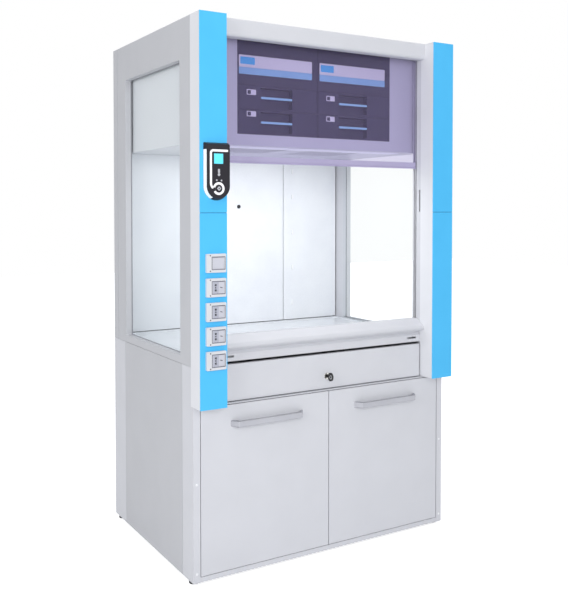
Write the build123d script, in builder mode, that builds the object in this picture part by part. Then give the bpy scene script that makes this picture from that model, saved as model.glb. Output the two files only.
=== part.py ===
from build123d import *
import math
import os

os.makedirs("parts", exist_ok=True)

# Floor-standing fume hood. All sizes in millimetres, +Z up, +Y to the back.
# The origin is on the floor, below the middle of the whole object.
# "Depth" is measured backwards from the front face of the base cabinet.

# Overall cabinet
hood_width = 1200
hood_height = 2100
cabinet_depth = 840
sheet = 1.5
slip_gap = 0.3
bearing_gap = 0.05
panel_gap = 0.5
seam_width = 1.5
seam_depth = 1.2

# Service columns at the front
column_width = 109
column_proud = 63
column_back = 19
column_bottom = 667
fascia_thick = 4
fascia_split = 1380
fascia_seam = 3

# Sash column behind each service column
sash_column_back = 70
wall_thick = 29

# Base cabinet
floor_gap = 12
floor_top = 31
base_top = 812
front_post_depth = 98
rear_post_depth = 136
post_width = 28
post_wall = 2
post_foot = 6
hinge_block_width = 10
hinge_block_depth = 12
hinge_block_height = 28
rail_top = 665
rail_thick = 3
top_rail_height = 24
tray_return = 14
base_back_depth = 832
shelf_bottom = 332
shelf_thick = 18
shelf_front = 60
shelf_tab = 12

# Feet
foot_radius = 20
foot_pad_height = 7
foot_stem_radius = 6
foot_stem_top = 34
foot_inset = 22
foot_front_depth = 42

# Doors
door_thick = 20
door_gap = 3
door_flange = 15
door_edge_radius = 2
pivot_from_edge = 7
pivot_depth = 6.5
pivot_radius = 3
pivot_length = 2.6

# Door handles
handle_length = 320
handle_height = 23
handle_standoff = 30
handle_thick = 7
handle_splay = 20
handle_level = 588

# Service flap
flap_front = 14
flap_thick = 18
flap_bottom = 669
flap_top = 808
flap_side_gap = 2.5
flap_edge_radius = 8
flap_pivot_depth = 22
flap_pivot_level = 676
flap_pivot_radius = 2.5
flap_pivot_length = 8

# Flap lock
lock_level = 718
lock_radius = 11
lock_flange_radius = 14
lock_flange_thick = 2
lock_body_length = 28
plug_radius = 7
cam_length = 46
cam_width = 12
cam_thick = 3
strike_depth = 36
strike_thick = 2
strike_height = 24
strike_width = 60
key_blade_length = 9
key_bow_length = 30
key_bow_height = 34
key_bow_thick = 7
key_hole_radius = 5

# Sill below the sash
sill_sheet = 2
sill_top = 914
sill_rear_depth = 66
sill_crest_depth = 38
sill_nose_radius = 11
sill_nose_depth = 6
sill_nose_level = 881
sill_throat_depth = 31
sill_throat_level = 856
sill_apron_depth = 22
sill_apron_bottom = 818
sill_slot_length = 48
sill_slot_height = 8
sill_slot_level = 836
sill_slot_inset = 22

# Worktop
worktop_level = 834
worktop_rim = 4
worktop_rim_width = 14
worktop_corner = 25

# Side windows
window_front = 113
window_back = 689
window_bottom = 843
window_below_top = 150
window_corner = 6
window_lap = 14
glass_thick = 5
wall_groove_depth = 788
wall_groove_width = 3

# Sash panes, shown raised
pane_thick = 6
pane_height = 510
sash_edge_below_top = 532
sash_depth = 50
pane_pitch = 10
pane_edge_in_column = 12
sash_rest_gap = 1
grip_height = 27
grip_proud = 9
grip_wall = 3

# Sash guides
guide_front = 30
guide_lip = 6
guide_rib = 12
guide_side_gap = 1.3
guide_rear_lip = 1.6
guide_end = 12

# Sash drive: stepped pulleys, closed belts and counterweights
drive_depth = 8
drive_below_top = 50
drive_low_level = 880
belt_radius = 40
belt_thick = 3
belt_width = 10
sash_belt_inset = 20
pane_belt_inset = 35
pulley_rim = 12
shaft_radius = 6
bush_radius = 10.5
counterweight_width = 50
counterweight_depth = 44
counterweight_forward = 13
counterweight_height = 300
counterweight_inset = 49
counterweight_low = 740
clamp_height = 40
clamp_thick = 5

# Header
header_front = -4
header_height = 64
header_radius = 12
header_return = 40
header_lip = 12

# Back wall and baffle
back_panel_depth = 836
baffle_depth = 775
baffle_thick = 2
baffle_half_width = 249
baffle_seam = 3
baffle_foot_gap = 3
baffle_stud_radius = 6
probe_below_top = 696
probe_radius = 9
probe_proud = 6

# Filter compartment
plenum_below_top = 460
plenum_front = 84.5
module_foot_below_top = 416
module_top_gap = 15
module_width = 370
module_depth = 386
module_gap = 2
module_wall = 4
drawer_height = 98
upper_drawer_height = 94
drawer_gap = 1
drawer_length = 380
grip_pocket_left = 103
grip_pocket_width = 146
grip_pocket_depth = 26
grip_pocket_margin = 6
grip_bar_height = 6
grip_bar_thick = 8
control_strip_rise = 38
control_strip_height = 76
control_strip_left = 5
control_strip_width = 337
control_strip_proud = 2
inlet_slot_count = 9
inlet_slot_width = 12
inlet_slot_length = 250

# Lamp in the ceiling of the chamber
lamp_length = 900
lamp_width = 80
lamp_front = 118
lamp_height = 24
lens_thick = 5

# Roof, exhaust collar and fan
roof_sheet = 2
collar_radius = 125
collar_height = 50
collar_flange = 20
fan_depth = 622
fan_duct_radius = 122
fan_duct_length = 216
fan_mouth_radius = 24
impeller_radius = 117
hub_radius = 45
hub_height = 80
hub_below_top = 195
blade_count = 7
blade_thick = 2.5
motor_height = 66
motor_gap = 8
strut_count = 4
strut_width = 6
gland_radius = 14
gland_x = -420
gland_depth = 740

# Control pod on the left column
pod_width = 90
pod_flare = 6.5
pod_depth = 20
pod_bottom = 1431
pod_top = 1626
pod_centre_from_side = 65
pod_corner = 5
screen_size = 37
screen_level = 1574
screen_recess = 1
button_radius = 13
button_level = 1467
button_proud = 3
button_travel = 1.5
button_well = 7

# Wiring boxes on the left column
box_count = 5
box_pitch = 88.3
box_top = 1232.5
box_width = 79
box_height = 68
box_proud = 12
box_from_side = 20.5
box_corner = 4
box_depth = 27
box_wall = 1.5
bay_size = 45.5
bay_from_left = 24.5
insert_width = 22.4
socket_hole_radius = 2.6
socket_hole_depth = 3
socket_pitch = 9.5
rocker_gap = 0.5
rocker_height = 42.4
rocker_thick = 9
rocker_tilt = 4
rocker_pin_radius = 1.5
rocker_pin_length = 1

# Places that follow from the sizes above
front_reach = column_proud + pod_depth + button_proud
back_y = (cabinet_depth + front_reach) / 2
front_y = back_y - cabinet_depth
half_width = hood_width / 2
column_inner = half_width - column_width
wall_inner = half_width - wall_thick
window_top = hood_height - window_below_top
sash_low_edge = hood_height - sash_edge_below_top
drive_top_level = hood_height - drive_below_top
header_bottom = hood_height - header_height
probe_level = hood_height - probe_below_top
plenum_bottom = hood_height - plenum_below_top
module_bottom = hood_height - module_foot_below_top
module_top = hood_height - module_top_gap
drawer_split = module_bottom + drawer_height
drawer_top = drawer_split + upper_drawer_height
control_strip_bottom = drawer_top + control_strip_rise
control_strip_top = control_strip_bottom + control_strip_height
hub_level = hood_height - hub_below_top
upper_pane_depth = sash_depth + pane_pitch
rear_lip_front = upper_pane_depth + pane_thick / 2 + guide_side_gap
guide_back = rear_lip_front + guide_rear_lip
guide_low = base_top + guide_end
guide_high = drive_top_level + belt_radius


def y_at(depth):
    """Y of a plane that lies this far behind the front of the base cabinet."""
    return front_y + depth


def slab(x_limits, depth_limits, z_limits, mode=Mode.ADD):
    """A rectangular stretch of a piece, between limits in X, depth and Z."""
    middle = (sum(x_limits) / 2, y_at(sum(depth_limits) / 2), sum(z_limits) / 2)
    with Locations(middle):
        Box(
            x_limits[1] - x_limits[0],
            depth_limits[1] - depth_limits[0],
            z_limits[1] - z_limits[0],
            mode=mode,
        )


def finish(piece, name):
    """Label a finished piece and write it to its own STEP file."""
    piece.part.label = name
    export_step(piece.part, f"parts/{name}.step")


# Base cabinet
# Welded frame: posts, floor pan, rail above the doors and rails under the worktop
left_pivot_x = -half_width + post_width + door_gap + pivot_from_edge
with BuildPart() as base_frame:
    with BuildSketch(Plane.XY.offset(floor_gap)):
        with Locations((-half_width + post_width / 2, y_at(front_post_depth / 2))):
            Rectangle(post_width, front_post_depth)
        with Locations((-half_width + post_width / 2, y_at(cabinet_depth - rear_post_depth / 2))):
            Rectangle(post_width, rear_post_depth)
    extrude(amount=base_top - floor_gap)
    # The service column stands in front of the upper part of the front post
    slab(
        (-half_width, -half_width + post_width),
        (0, column_back + slip_gap),
        (column_bottom - slip_gap, base_top),
        mode=Mode.SUBTRACT,
    )
    # The posts are tubes above their foot plates
    for depth_limits in (
        (post_wall, front_post_depth - post_wall),
        (cabinet_depth - rear_post_depth + post_wall, cabinet_depth - post_wall),
    ):
        slab(
            (-half_width + post_wall, -half_width + post_width - post_wall),
            depth_limits,
            (floor_gap + post_foot, base_top),
            mode=Mode.SUBTRACT,
        )
    # Closing plate behind the foot of the service column, with the flap's hinge block
    slab(
        (-half_width, -column_inner),
        (column_back + slip_gap, column_back + slip_gap + post_wall),
        (rail_top - rail_thick, base_top),
    )
    slab(
        (-half_width + post_width - post_wall, -column_inner),
        (column_back + slip_gap, front_post_depth),
        (base_top - post_wall, base_top),
    )
    slab(
        (-column_inner - hinge_block_width, -column_inner),
        (column_back + slip_gap, column_back + slip_gap + hinge_block_depth),
        (rail_top - rail_thick, rail_top + hinge_block_height),
    )
    slab(
        (-half_width + tray_return, -half_width + post_width),
        (front_post_depth, cabinet_depth - rear_post_depth),
        (base_top - top_rail_height, base_top),
    )
    for x_side in (-half_width + foot_inset,):
        for depth in (foot_front_depth, cabinet_depth - foot_front_depth):
            with Locations((x_side, y_at(depth), floor_gap)):
                Cylinder(
                    foot_stem_radius + slip_gap,
                    foot_stem_top - floor_gap + slip_gap,
                    align=(Align.CENTER, Align.CENTER, Align.MIN),
                    mode=Mode.SUBTRACT,
                )
    for depth in (shelf_front + shelf_tab, cabinet_depth - rear_post_depth + shelf_tab):
        slab(
            (-half_width + post_width, -half_width + post_width + shelf_tab),
            (depth, depth + shelf_tab),
            (shelf_bottom - sheet, shelf_bottom),
        )
    mirror(about=Plane.YZ)
    # Floor pan, folded down at its edges
    inner_half = half_width - post_width
    slab((-inner_half, inner_half), (sheet, base_back_depth), (floor_gap, floor_top))
    slab(
        (-inner_half + sheet, inner_half - sheet),
        (2 * sheet, base_back_depth - sheet),
        (floor_gap, floor_top - sheet),
        mode=Mode.SUBTRACT,
    )
    # Rail above the doors, with the lip that the doors close against
    slab((-inner_half, inner_half), (sheet, front_post_depth), (rail_top - rail_thick, rail_top))
    slab(
        (-inner_half + door_thick, inner_half - door_thick),
        (door_thick + panel_gap, door_thick + panel_gap + sheet),
        (rail_top - rail_thick - door_flange, rail_top - rail_thick),
    )
    # Strike that the lock cam turns behind
    slab(
        (-strike_width / 2, strike_width / 2),
        (strike_depth, strike_depth + strike_thick),
        (rail_top, rail_top + strike_height),
    )
    # Rear rail under the worktop
    slab(
        (-inner_half, inner_half),
        (base_back_depth - tray_return, base_back_depth),
        (base_top - top_rail_height, base_top),
    )
    # Seats of the door pivots and of the flap pivots
    for x_pivot in (left_pivot_x, -left_pivot_x):
        with Locations((x_pivot, y_at(pivot_depth), (floor_top + rail_top) / 2)):
            Cylinder(pivot_radius + bearing_gap, rail_top - floor_gap, mode=Mode.SUBTRACT)
    with Locations(Plane(origin=(0, y_at(flap_pivot_depth), flap_pivot_level), z_dir=(1, 0, 0))):
        Cylinder(
            flap_pivot_radius + bearing_gap,
            2 * (column_inner + flap_pivot_length),
            mode=Mode.SUBTRACT,
        )
finish(base_frame, "base_frame")

# Side panels of the base: folded trays between the posts
with BuildPart() as base_panel_left:
    slab(
        (-half_width, -half_width + tray_return - panel_gap),
        (front_post_depth + seam_width, cabinet_depth - rear_post_depth - seam_width),
        (floor_gap, base_top - panel_gap),
    )
    slab(
        (-half_width + sheet, -half_width + tray_return),
        (front_post_depth + seam_width + sheet, cabinet_depth - rear_post_depth - seam_width - sheet),
        (floor_gap + sheet, base_top - panel_gap - sheet),
        mode=Mode.SUBTRACT,
    )
finish(base_panel_left, "base_panel_left")

with BuildPart() as base_panel_right:
    mirror(base_panel_left.part, about=Plane.YZ)
finish(base_panel_right, "base_panel_right")

with BuildPart() as base_back_panel:
    slab(
        (-half_width + post_width + slip_gap, half_width - post_width - slip_gap),
        (base_back_depth + slip_gap, base_back_depth + slip_gap + sheet),
        (floor_gap + panel_gap, base_top - panel_gap),
    )
finish(base_back_panel, "base_back_panel")

# Shelf: a folded tray that lies on the tabs of the posts
with BuildPart() as base_shelf:
    slab(
        (-half_width + post_width + 1, half_width - post_width - 1),
        (shelf_front, cabinet_depth - rear_post_depth + 2 * shelf_tab + sheet),
        (shelf_bottom, shelf_bottom + shelf_thick),
    )
    shelf_rear = cabinet_depth - rear_post_depth + 2 * shelf_tab
    slab(
        (-half_width + post_width + 1 + sheet, half_width - post_width - 1 - sheet),
        (shelf_front + sheet, shelf_rear),
        (shelf_bottom + sheet, shelf_bottom + shelf_thick - sheet),
        mode=Mode.SUBTRACT,
    )
    slab(
        (-half_width + post_width + 1 + door_flange, half_width - post_width - 1 - door_flange),
        (shelf_front + door_flange, shelf_rear - door_flange),
        (shelf_bottom, shelf_bottom + sheet),
        mode=Mode.SUBTRACT,
    )
finish(base_shelf, "base_shelf")

# Levelling feet: pad, lock nut and stem
with BuildPart() as levelling_feet:
    for x_side in (-half_width + foot_inset, half_width - foot_inset):
        for depth in (foot_front_depth, cabinet_depth - foot_front_depth):
            with BuildSketch(Plane.XY):
                with Locations((x_side, y_at(depth))):
                    Circle(foot_radius)
            extrude(amount=foot_pad_height)
            with BuildSketch(Plane.XY.offset(foot_pad_height)):
                with Locations((x_side, y_at(depth))):
                    RegularPolygon(2 * foot_stem_radius, 6)
            extrude(amount=floor_gap - foot_pad_height)
            with BuildSketch(Plane.XY.offset(floor_gap)):
                with Locations((x_side, y_at(depth))):
                    Circle(foot_stem_radius)
            extrude(amount=foot_stem_top - floor_gap)
finish(levelling_feet, "levelling_feet")

# Doors: folded pans that turn on pins at their outer front edges
door_bottom = floor_top + door_gap
door_top = rail_top - rail_thick - door_gap
door_outer = half_width - post_width - door_gap
with BuildPart() as door_left:
    slab((-door_outer, -door_gap / 2), (0, door_thick), (door_bottom, door_top))
    fillet(door_left.edges().filter_by(Axis.Z).group_by(Axis.Y)[0], door_edge_radius)
    slab(
        (-door_outer + sheet, -door_gap / 2 - sheet),
        (sheet, door_thick - sheet),
        (door_bottom + sheet, door_top - sheet),
        mode=Mode.SUBTRACT,
    )
    slab(
        (-door_outer + door_flange, -door_gap / 2 - door_flange),
        (door_thick - sheet, door_thick),
        (door_bottom + door_flange, door_top - door_flange),
        mode=Mode.SUBTRACT,
    )
    for level, side in ((door_bottom, Align.MAX), (door_top, Align.MIN)):
        with Locations((left_pivot_x, y_at(pivot_depth), level)):
            Cylinder(
                pivot_radius,
                door_gap + pivot_length,
                align=(Align.CENTER, Align.CENTER, side),
            )
finish(door_left, "door_left")

with BuildPart() as door_right:
    mirror(door_left.part, about=Plane.YZ)
finish(door_right, "door_right")


def door_handle(centre_x):
    """A flat bar whose ends are splayed back to the door, screwed on from inside."""
    reach = handle_length / 2
    front_reach = reach - handle_splay
    inner_reach = reach - handle_thick * 1.3
    with BuildPart() as bow:
        with BuildSketch(Plane.XY.offset(handle_level - handle_height / 2)):
            with BuildLine():
                Polyline(
                    (centre_x - reach, y_at(0)),
                    (centre_x - front_reach, y_at(-handle_standoff)),
                    (centre_x + front_reach, y_at(-handle_standoff)),
                    (centre_x + reach, y_at(0)),
                    (centre_x + inner_reach, y_at(0)),
                    (centre_x + inner_reach - handle_splay, y_at(-handle_standoff + handle_thick)),
                    (centre_x - inner_reach + handle_splay, y_at(-handle_standoff + handle_thick)),
                    (centre_x - inner_reach, y_at(0)),
                    close=True,
                )
            make_face()
        extrude(amount=handle_height)
        upright = bow.edges().filter_by(Axis.Z)
        fillet(upright.group_by(Axis.Y)[0], handle_thick / 2)
        fillet(bow.faces().sort_by(Axis.Y)[0].edges().filter_by(Axis.X), handle_thick * 0.4)
    return bow


door_centre = (door_outer + door_gap / 2) / 2
handle_left = door_handle(-door_centre)
finish(handle_left, "handle_left")
handle_right = door_handle(door_centre)
finish(handle_right, "handle_right")

# Service flap: a pan that drops forward on pins at its lower corners
flap_half = column_inner - flap_side_gap
with BuildPart() as service_flap:
    slab((-flap_half, flap_half), (flap_front, flap_front + flap_thick), (flap_bottom, flap_top))
    fillet(service_flap.edges().filter_by(Axis.Z).group_by(Axis.Y)[0], flap_edge_radius)
    slab(
        (-flap_half + flap_edge_radius, flap_half - flap_edge_radius),
        (flap_front + sheet, flap_front + flap_thick),
        (flap_bottom + 2 * flap_edge_radius, flap_top - sheet),
        mode=Mode.SUBTRACT,
    )
    with Locations(Plane(origin=(0, y_at(flap_front), lock_level), z_dir=(0, 1, 0))):
        Cylinder(
            lock_radius + 3,
            flap_thick,
            align=(Align.CENTER, Align.CENTER, Align.MIN),
        )
        Cylinder(
            lock_radius,
            flap_thick,
            align=(Align.CENTER, Align.CENTER, Align.MIN),
            mode=Mode.SUBTRACT,
        )
    for x_end, side in ((-flap_half, Align.MAX), (flap_half, Align.MIN)):
        with Locations(Plane(origin=(x_end, y_at(flap_pivot_depth), flap_pivot_level), z_dir=(1, 0, 0))):
            Cylinder(
                flap_pivot_radius,
                flap_pivot_length,
                align=(Align.CENTER, Align.CENTER, side),
            )
finish(service_flap, "service_flap")

# Lock: barrel with its flange, and the plug that turns in it with cam and key
lock_plane = Plane(origin=(0, y_at(flap_front), lock_level), x_dir=(1, 0, 0), z_dir=(0, 1, 0))
with BuildPart() as flap_lock:
    with BuildSketch(lock_plane):
        Circle(lock_radius)
    extrude(amount=lock_body_length)
    with BuildSketch(lock_plane):
        Circle(lock_flange_radius)
    extrude(amount=-lock_flange_thick)
    fillet(flap_lock.faces().sort_by(Axis.Y)[0].edges(), lock_flange_thick / 2)
    with BuildSketch(lock_plane.offset(-lock_flange_thick)):
        Circle(plug_radius + bearing_gap)
    extrude(amount=lock_body_length + lock_flange_thick, mode=Mode.SUBTRACT)
finish(flap_lock, "flap_lock")

with BuildPart() as lock_key:
    with BuildSketch(lock_plane.offset(-lock_flange_thick)):
        Circle(plug_radius)
    extrude(amount=lock_body_length + lock_flange_thick + slip_gap)
    # Cam: a round-ended arm on the back of the plug
    with BuildSketch(lock_plane.offset(lock_body_length + slip_gap)):
        with Locations((cam_length / 2 - cam_width / 4, 0)):
            SlotOverall(cam_length + cam_width / 2, cam_width)
        Circle(plug_radius)
    extrude(amount=cam_thick)
    # Key: blade and moulded bow, standing upright in the plug
    bow_start = flap_front - lock_flange_thick - key_blade_length
    slab(
        (-sheet, sheet),
        (bow_start - 1, flap_front - lock_flange_thick),
        (lock_level - plug_radius + sheet, lock_level + plug_radius - sheet),
    )
    with BuildSketch(Plane.YZ.offset(-key_bow_thick / 2)):
        with Locations((y_at(bow_start - key_bow_length / 2), lock_level)):
            Ellipse(key_bow_length / 2, key_bow_height / 2)
        with Locations((y_at(bow_start - key_bow_length * 0.68), lock_level)):
            Circle(key_hole_radius, mode=Mode.SUBTRACT)
    extrude(amount=key_bow_thick)
finish(lock_key, "lock_key")

# Worktop and sill
# Worktop: a dished slab with a low rim all round
with BuildPart() as worktop:
    slab(
        (-wall_inner + slip_gap, wall_inner - slip_gap),
        (sash_column_back + slip_gap, back_panel_depth - slip_gap),
        (base_top, worktop_level + worktop_rim),
    )
    with BuildSketch(Plane.XY.offset(worktop_level)):
        with Locations((0, y_at((sash_column_back + baffle_depth) / 2))):
            RectangleRounded(
                2 * (wall_inner - worktop_rim_width),
                baffle_depth - sash_column_back - 2 * worktop_rim_width,
                worktop_corner,
            )
    extrude(amount=worktop_rim, mode=Mode.SUBTRACT)
finish(worktop, "worktop")

# Sill: one folded sheet with a rounded nose, its apron hanging in front of the frame
with BuildPart() as airfoil_sill:
    with BuildSketch(Plane.YZ.offset(-column_inner + panel_gap)):
        with BuildLine():
            nose_low = (
                sill_nose_depth + sill_nose_radius * math.cos(math.radians(-60)),
                sill_nose_level + sill_nose_radius * math.sin(math.radians(-60)),
            )
            nose_high = (
                sill_nose_depth + sill_nose_radius * math.cos(math.radians(130)),
                sill_nose_level + sill_nose_radius * math.sin(math.radians(130)),
            )
            Polyline(
                (y_at(sill_rear_depth), worktop_level + worktop_rim),
                (y_at(sill_rear_depth), sill_top),
                (y_at(sill_crest_depth), sill_top),
                (y_at(nose_high[0]), nose_high[1]),
            )
            ThreePointArc(
                (y_at(nose_high[0]), nose_high[1]),
                (y_at(sill_nose_depth - sill_nose_radius), sill_nose_level),
                (y_at(nose_low[0]), nose_low[1]),
            )
            Polyline(
                (y_at(nose_low[0]), nose_low[1]),
                (y_at(sill_throat_depth), sill_throat_level),
                (y_at(sill_apron_depth), sill_throat_level - sill_nose_radius),
                (y_at(sill_apron_depth), sill_apron_bottom),
            )
            offset(amount=-sill_sheet, side=Side.RIGHT)
        make_face()
    extrude(amount=2 * (column_inner - panel_gap))
    for side in (-1, 1):
        slot_centre = side * (column_inner - sill_slot_inset - sill_slot_length / 2)
        with Locations((slot_centre, y_at(sill_apron_depth), sill_slot_level)):
            Box(sill_slot_length, 4 * sill_sheet, sill_slot_height, mode=Mode.SUBTRACT)
finish(airfoil_sill, "airfoil_sill")

# Side walls, windows and back
# Side wall: a double-skinned panel that widens into the sash column at its front
drive_plane_left = Plane(origin=(-column_inner, y_at(drive_depth), drive_top_level), z_dir=(-1, 0, 0))
with BuildPart() as side_wall_left:
    with BuildSketch(Plane.XY.offset(base_top)):
        with BuildLine():
            Polyline(
                (-half_width, y_at(column_back)),
                (-column_inner, y_at(column_back)),
                (-column_inner, y_at(sash_column_back)),
                (-wall_inner, y_at(sash_column_back)),
                (-wall_inner, y_at(cabinet_depth)),
                (-half_width, y_at(cabinet_depth)),
                close=True,
            )
        make_face()
        with BuildLine():
            Polyline(
                (-half_width + sheet, y_at(column_back)),
                (-column_inner - sheet, y_at(column_back)),
                (-column_inner - sheet, y_at(sash_column_back - sheet)),
                (-half_width + sheet, y_at(sash_column_back - sheet)),
                close=True,
            )
        make_face(mode=Mode.SUBTRACT)
    extrude(amount=hood_height - roof_sheet - base_top)
    # Slit for the guides and the edges of the panes
    slab(
        (-column_inner - 2 * sheet, -column_inner + sheet),
        (guide_front, guide_back),
        (guide_low, guide_high),
        mode=Mode.SUBTRACT,
    )
    with Locations(drive_plane_left):
        Cylinder(bush_radius + slip_gap, 4 * sheet, mode=Mode.SUBTRACT)
    # Window
    with BuildSketch(Plane.YZ.offset(-half_width)):
        with Locations((y_at((window_front + window_back) / 2), (window_bottom + window_top) / 2)):
            RectangleRounded(window_back - window_front, window_top - window_bottom, window_corner)
    extrude(amount=wall_thick, mode=Mode.SUBTRACT)
    # Joint between the wall and its rear post
    slab(
        (-half_width, -half_width + sheet),
        (wall_groove_depth, wall_groove_depth + wall_groove_width),
        (base_top, hood_height),
        mode=Mode.SUBTRACT,
    )
    # Rebates where the wall meets the service column and the base cabinet
    slab(
        (-half_width, -half_width + seam_depth),
        (column_back, column_back + seam_width),
        (base_top, hood_height),
        mode=Mode.SUBTRACT,
    )
    slab(
        (-half_width, -half_width + seam_depth),
        (column_back, cabinet_depth),
        (base_top, base_top + seam_width),
        mode=Mode.SUBTRACT,
    )
finish(side_wall_left, "side_wall_left")

# The right wall also has the inspection slot beside the sash
sash_slot_depth = 25
sash_slot_width = 8
sash_slot_low = 1381
sash_slot_high = 1477
with BuildPart() as side_wall_right:
    mirror(side_wall_left.part, about=Plane.YZ)
    with BuildSketch(Plane.YZ.offset(column_inner - sheet)):
        with Locations((y_at(sash_slot_depth), (sash_slot_low + sash_slot_high) / 2)):
            SlotOverall(sash_slot_high - sash_slot_low, sash_slot_width, rotation=90)
    extrude(amount=3 * sheet, mode=Mode.SUBTRACT)
finish(side_wall_right, "side_wall_right")

with BuildPart() as side_glass_left:
    slab(
        (-wall_inner, -wall_inner + glass_thick),
        (window_front - window_lap, window_back + window_lap),
        (worktop_level + worktop_rim, window_top + window_lap),
    )
    fillet(side_glass_left.edges().filter_by(Axis.X), window_corner / 2)
finish(side_glass_left, "side_glass_left")

with BuildPart() as side_glass_right:
    mirror(side_glass_left.part, about=Plane.YZ)
finish(side_glass_right, "side_glass_right")

with BuildPart() as upper_back_panel:
    slab(
        (-wall_inner + slip_gap, wall_inner - slip_gap),
        (back_panel_depth, back_panel_depth + sheet),
        (base_top, hood_height - roof_sheet),
    )
finish(upper_back_panel, "upper_back_panel")


def baffle_panel(x_limits):
    """A baffle sheet on four studs that hold it off the back wall."""
    with BuildPart() as baffle:
        slab(
            x_limits,
            (baffle_depth, baffle_depth + baffle_thick),
            (worktop_level + worktop_rim + baffle_foot_gap, plenum_bottom - panel_gap),
        )
        stud_inset = 4 * baffle_stud_radius
        stud_levels = (worktop_level + 5 * stud_inset, plenum_bottom - 5 * stud_inset)
        for x_stud in (x_limits[0] + stud_inset, x_limits[1] - stud_inset):
            for level in stud_levels:
                with Locations(
                    Plane(origin=(x_stud, y_at(baffle_depth + baffle_thick), level), z_dir=(0, 1, 0))
                ):
                    Cylinder(
                        baffle_stud_radius,
                        back_panel_depth - baffle_depth - baffle_thick,
                        align=(Align.CENTER, Align.CENTER, Align.MIN),
                    )
    return baffle


baffle_centre = baffle_panel((-baffle_half_width, baffle_half_width))
finish(baffle_centre, "baffle_centre")
left_baffle = baffle_panel((-wall_inner + glass_thick + 1, -baffle_half_width - baffle_seam))
with BuildPart() as baffle_sides:
    add(left_baffle.part)
    mirror(left_baffle.part, about=Plane.YZ)
finish(baffle_sides, "baffle_sides")

# Air-flow probe in the middle of the baffle
with BuildPart() as flow_probe:
    with BuildSketch(Plane(origin=(0, y_at(baffle_depth), probe_level), z_dir=(0, -1, 0))):
        Circle(probe_radius)
    extrude(amount=probe_proud)
    fillet(flow_probe.faces().sort_by(Axis.Y)[0].edges(), probe_proud / 2)
    with BuildSketch(Plane(origin=(0, y_at(baffle_depth), probe_level), z_dir=(0, -1, 0))):
        Circle(probe_radius / 3)
    extrude(amount=2 * probe_proud)
finish(flow_probe, "flow_probe")

# Service columns and their coloured fascias
box_centre_x = -half_width + box_from_side + box_width / 2
bay_centre_x = -half_width + box_from_side + bay_from_left + bay_size / 2
box_levels = [box_top - box_height / 2 - index * box_pitch for index in range(box_count)]
back_box_size = bay_size + 2 * box_wall


def cut_box_openings(depth_limits):
    """Openings for the recessed halves of the wiring boxes."""
    half_opening = back_box_size / 2 + slip_gap
    for level in box_levels:
        slab(
            (bay_centre_x - half_opening, bay_centre_x + half_opening),
            depth_limits,
            (level - half_opening, level + half_opening),
            mode=Mode.SUBTRACT,
        )


column_front = -column_proud + fascia_thick
with BuildPart() as plain_column:
    with BuildSketch(Plane.XY.offset(column_bottom)):
        with Locations((-half_width + column_width / 2, y_at((column_front + column_back) / 2))):
            Rectangle(column_width, column_back - column_front)
    extrude(amount=hood_height - column_bottom)
    slab(
        (-half_width + sheet, -column_inner - sheet),
        (column_front + sheet, column_back),
        (column_bottom + sheet, hood_height - sheet),
        mode=Mode.SUBTRACT,
    )
    with Locations(drive_plane_left):
        Cylinder(bush_radius + slip_gap, 4 * sheet, mode=Mode.SUBTRACT)
    # Stub axle that carries the lower pulley
    stub_length = pane_belt_inset + pulley_rim + sheet
    with Locations(Plane(origin=(-column_inner, y_at(drive_depth), drive_low_level), z_dir=(-1, 0, 0))):
        Cylinder(shaft_radius, stub_length, align=(Align.CENTER, Align.CENTER, Align.MIN))

with BuildPart() as column_left:
    add(plain_column.part)
    cut_box_openings((column_front, column_front + sheet))
finish(column_left, "column_left")

with BuildPart() as column_right:
    mirror(plain_column.part, about=Plane.YZ)
finish(column_right, "column_right")

with BuildPart() as plain_fascia:
    for low, high in (
        (column_bottom, fascia_split - fascia_seam / 2),
        (fascia_split + fascia_seam / 2, hood_height),
    ):
        slab((-half_width, -column_inner), (-column_proud, column_front), (low, high))
    fillet(plain_fascia.edges().filter_by(Axis.Z).group_by(Axis.Y)[0], fascia_thick / 3)

with BuildPart() as fascia_left:
    add(plain_fascia.part)
    cut_box_openings((-column_proud, column_front))
finish(fascia_left, "fascia_left")

with BuildPart() as fascia_right:
    mirror(plain_fascia.part, about=Plane.YZ)
finish(fascia_right, "fascia_right")

# Header: a folded cover with a rounded lower edge, between the columns
with BuildPart() as header:
    with BuildSketch(Plane.YZ.offset(-column_inner + slip_gap)):
        with BuildLine():
            front_line = FilletPolyline(
                (y_at(sash_column_back - 2 * sheet), hood_height),
                (y_at(header_front), hood_height),
                (y_at(header_front), header_bottom),
                (y_at(header_return), header_bottom),
                (y_at(header_return), header_bottom + header_lip),
                radius=(2 * sheet, header_radius, 2 * sheet),
            )
            offset(amount=sheet, side=Side.LEFT)
        make_face()
    extrude(amount=2 * (column_inner - slip_gap))
finish(header, "header")

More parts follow.
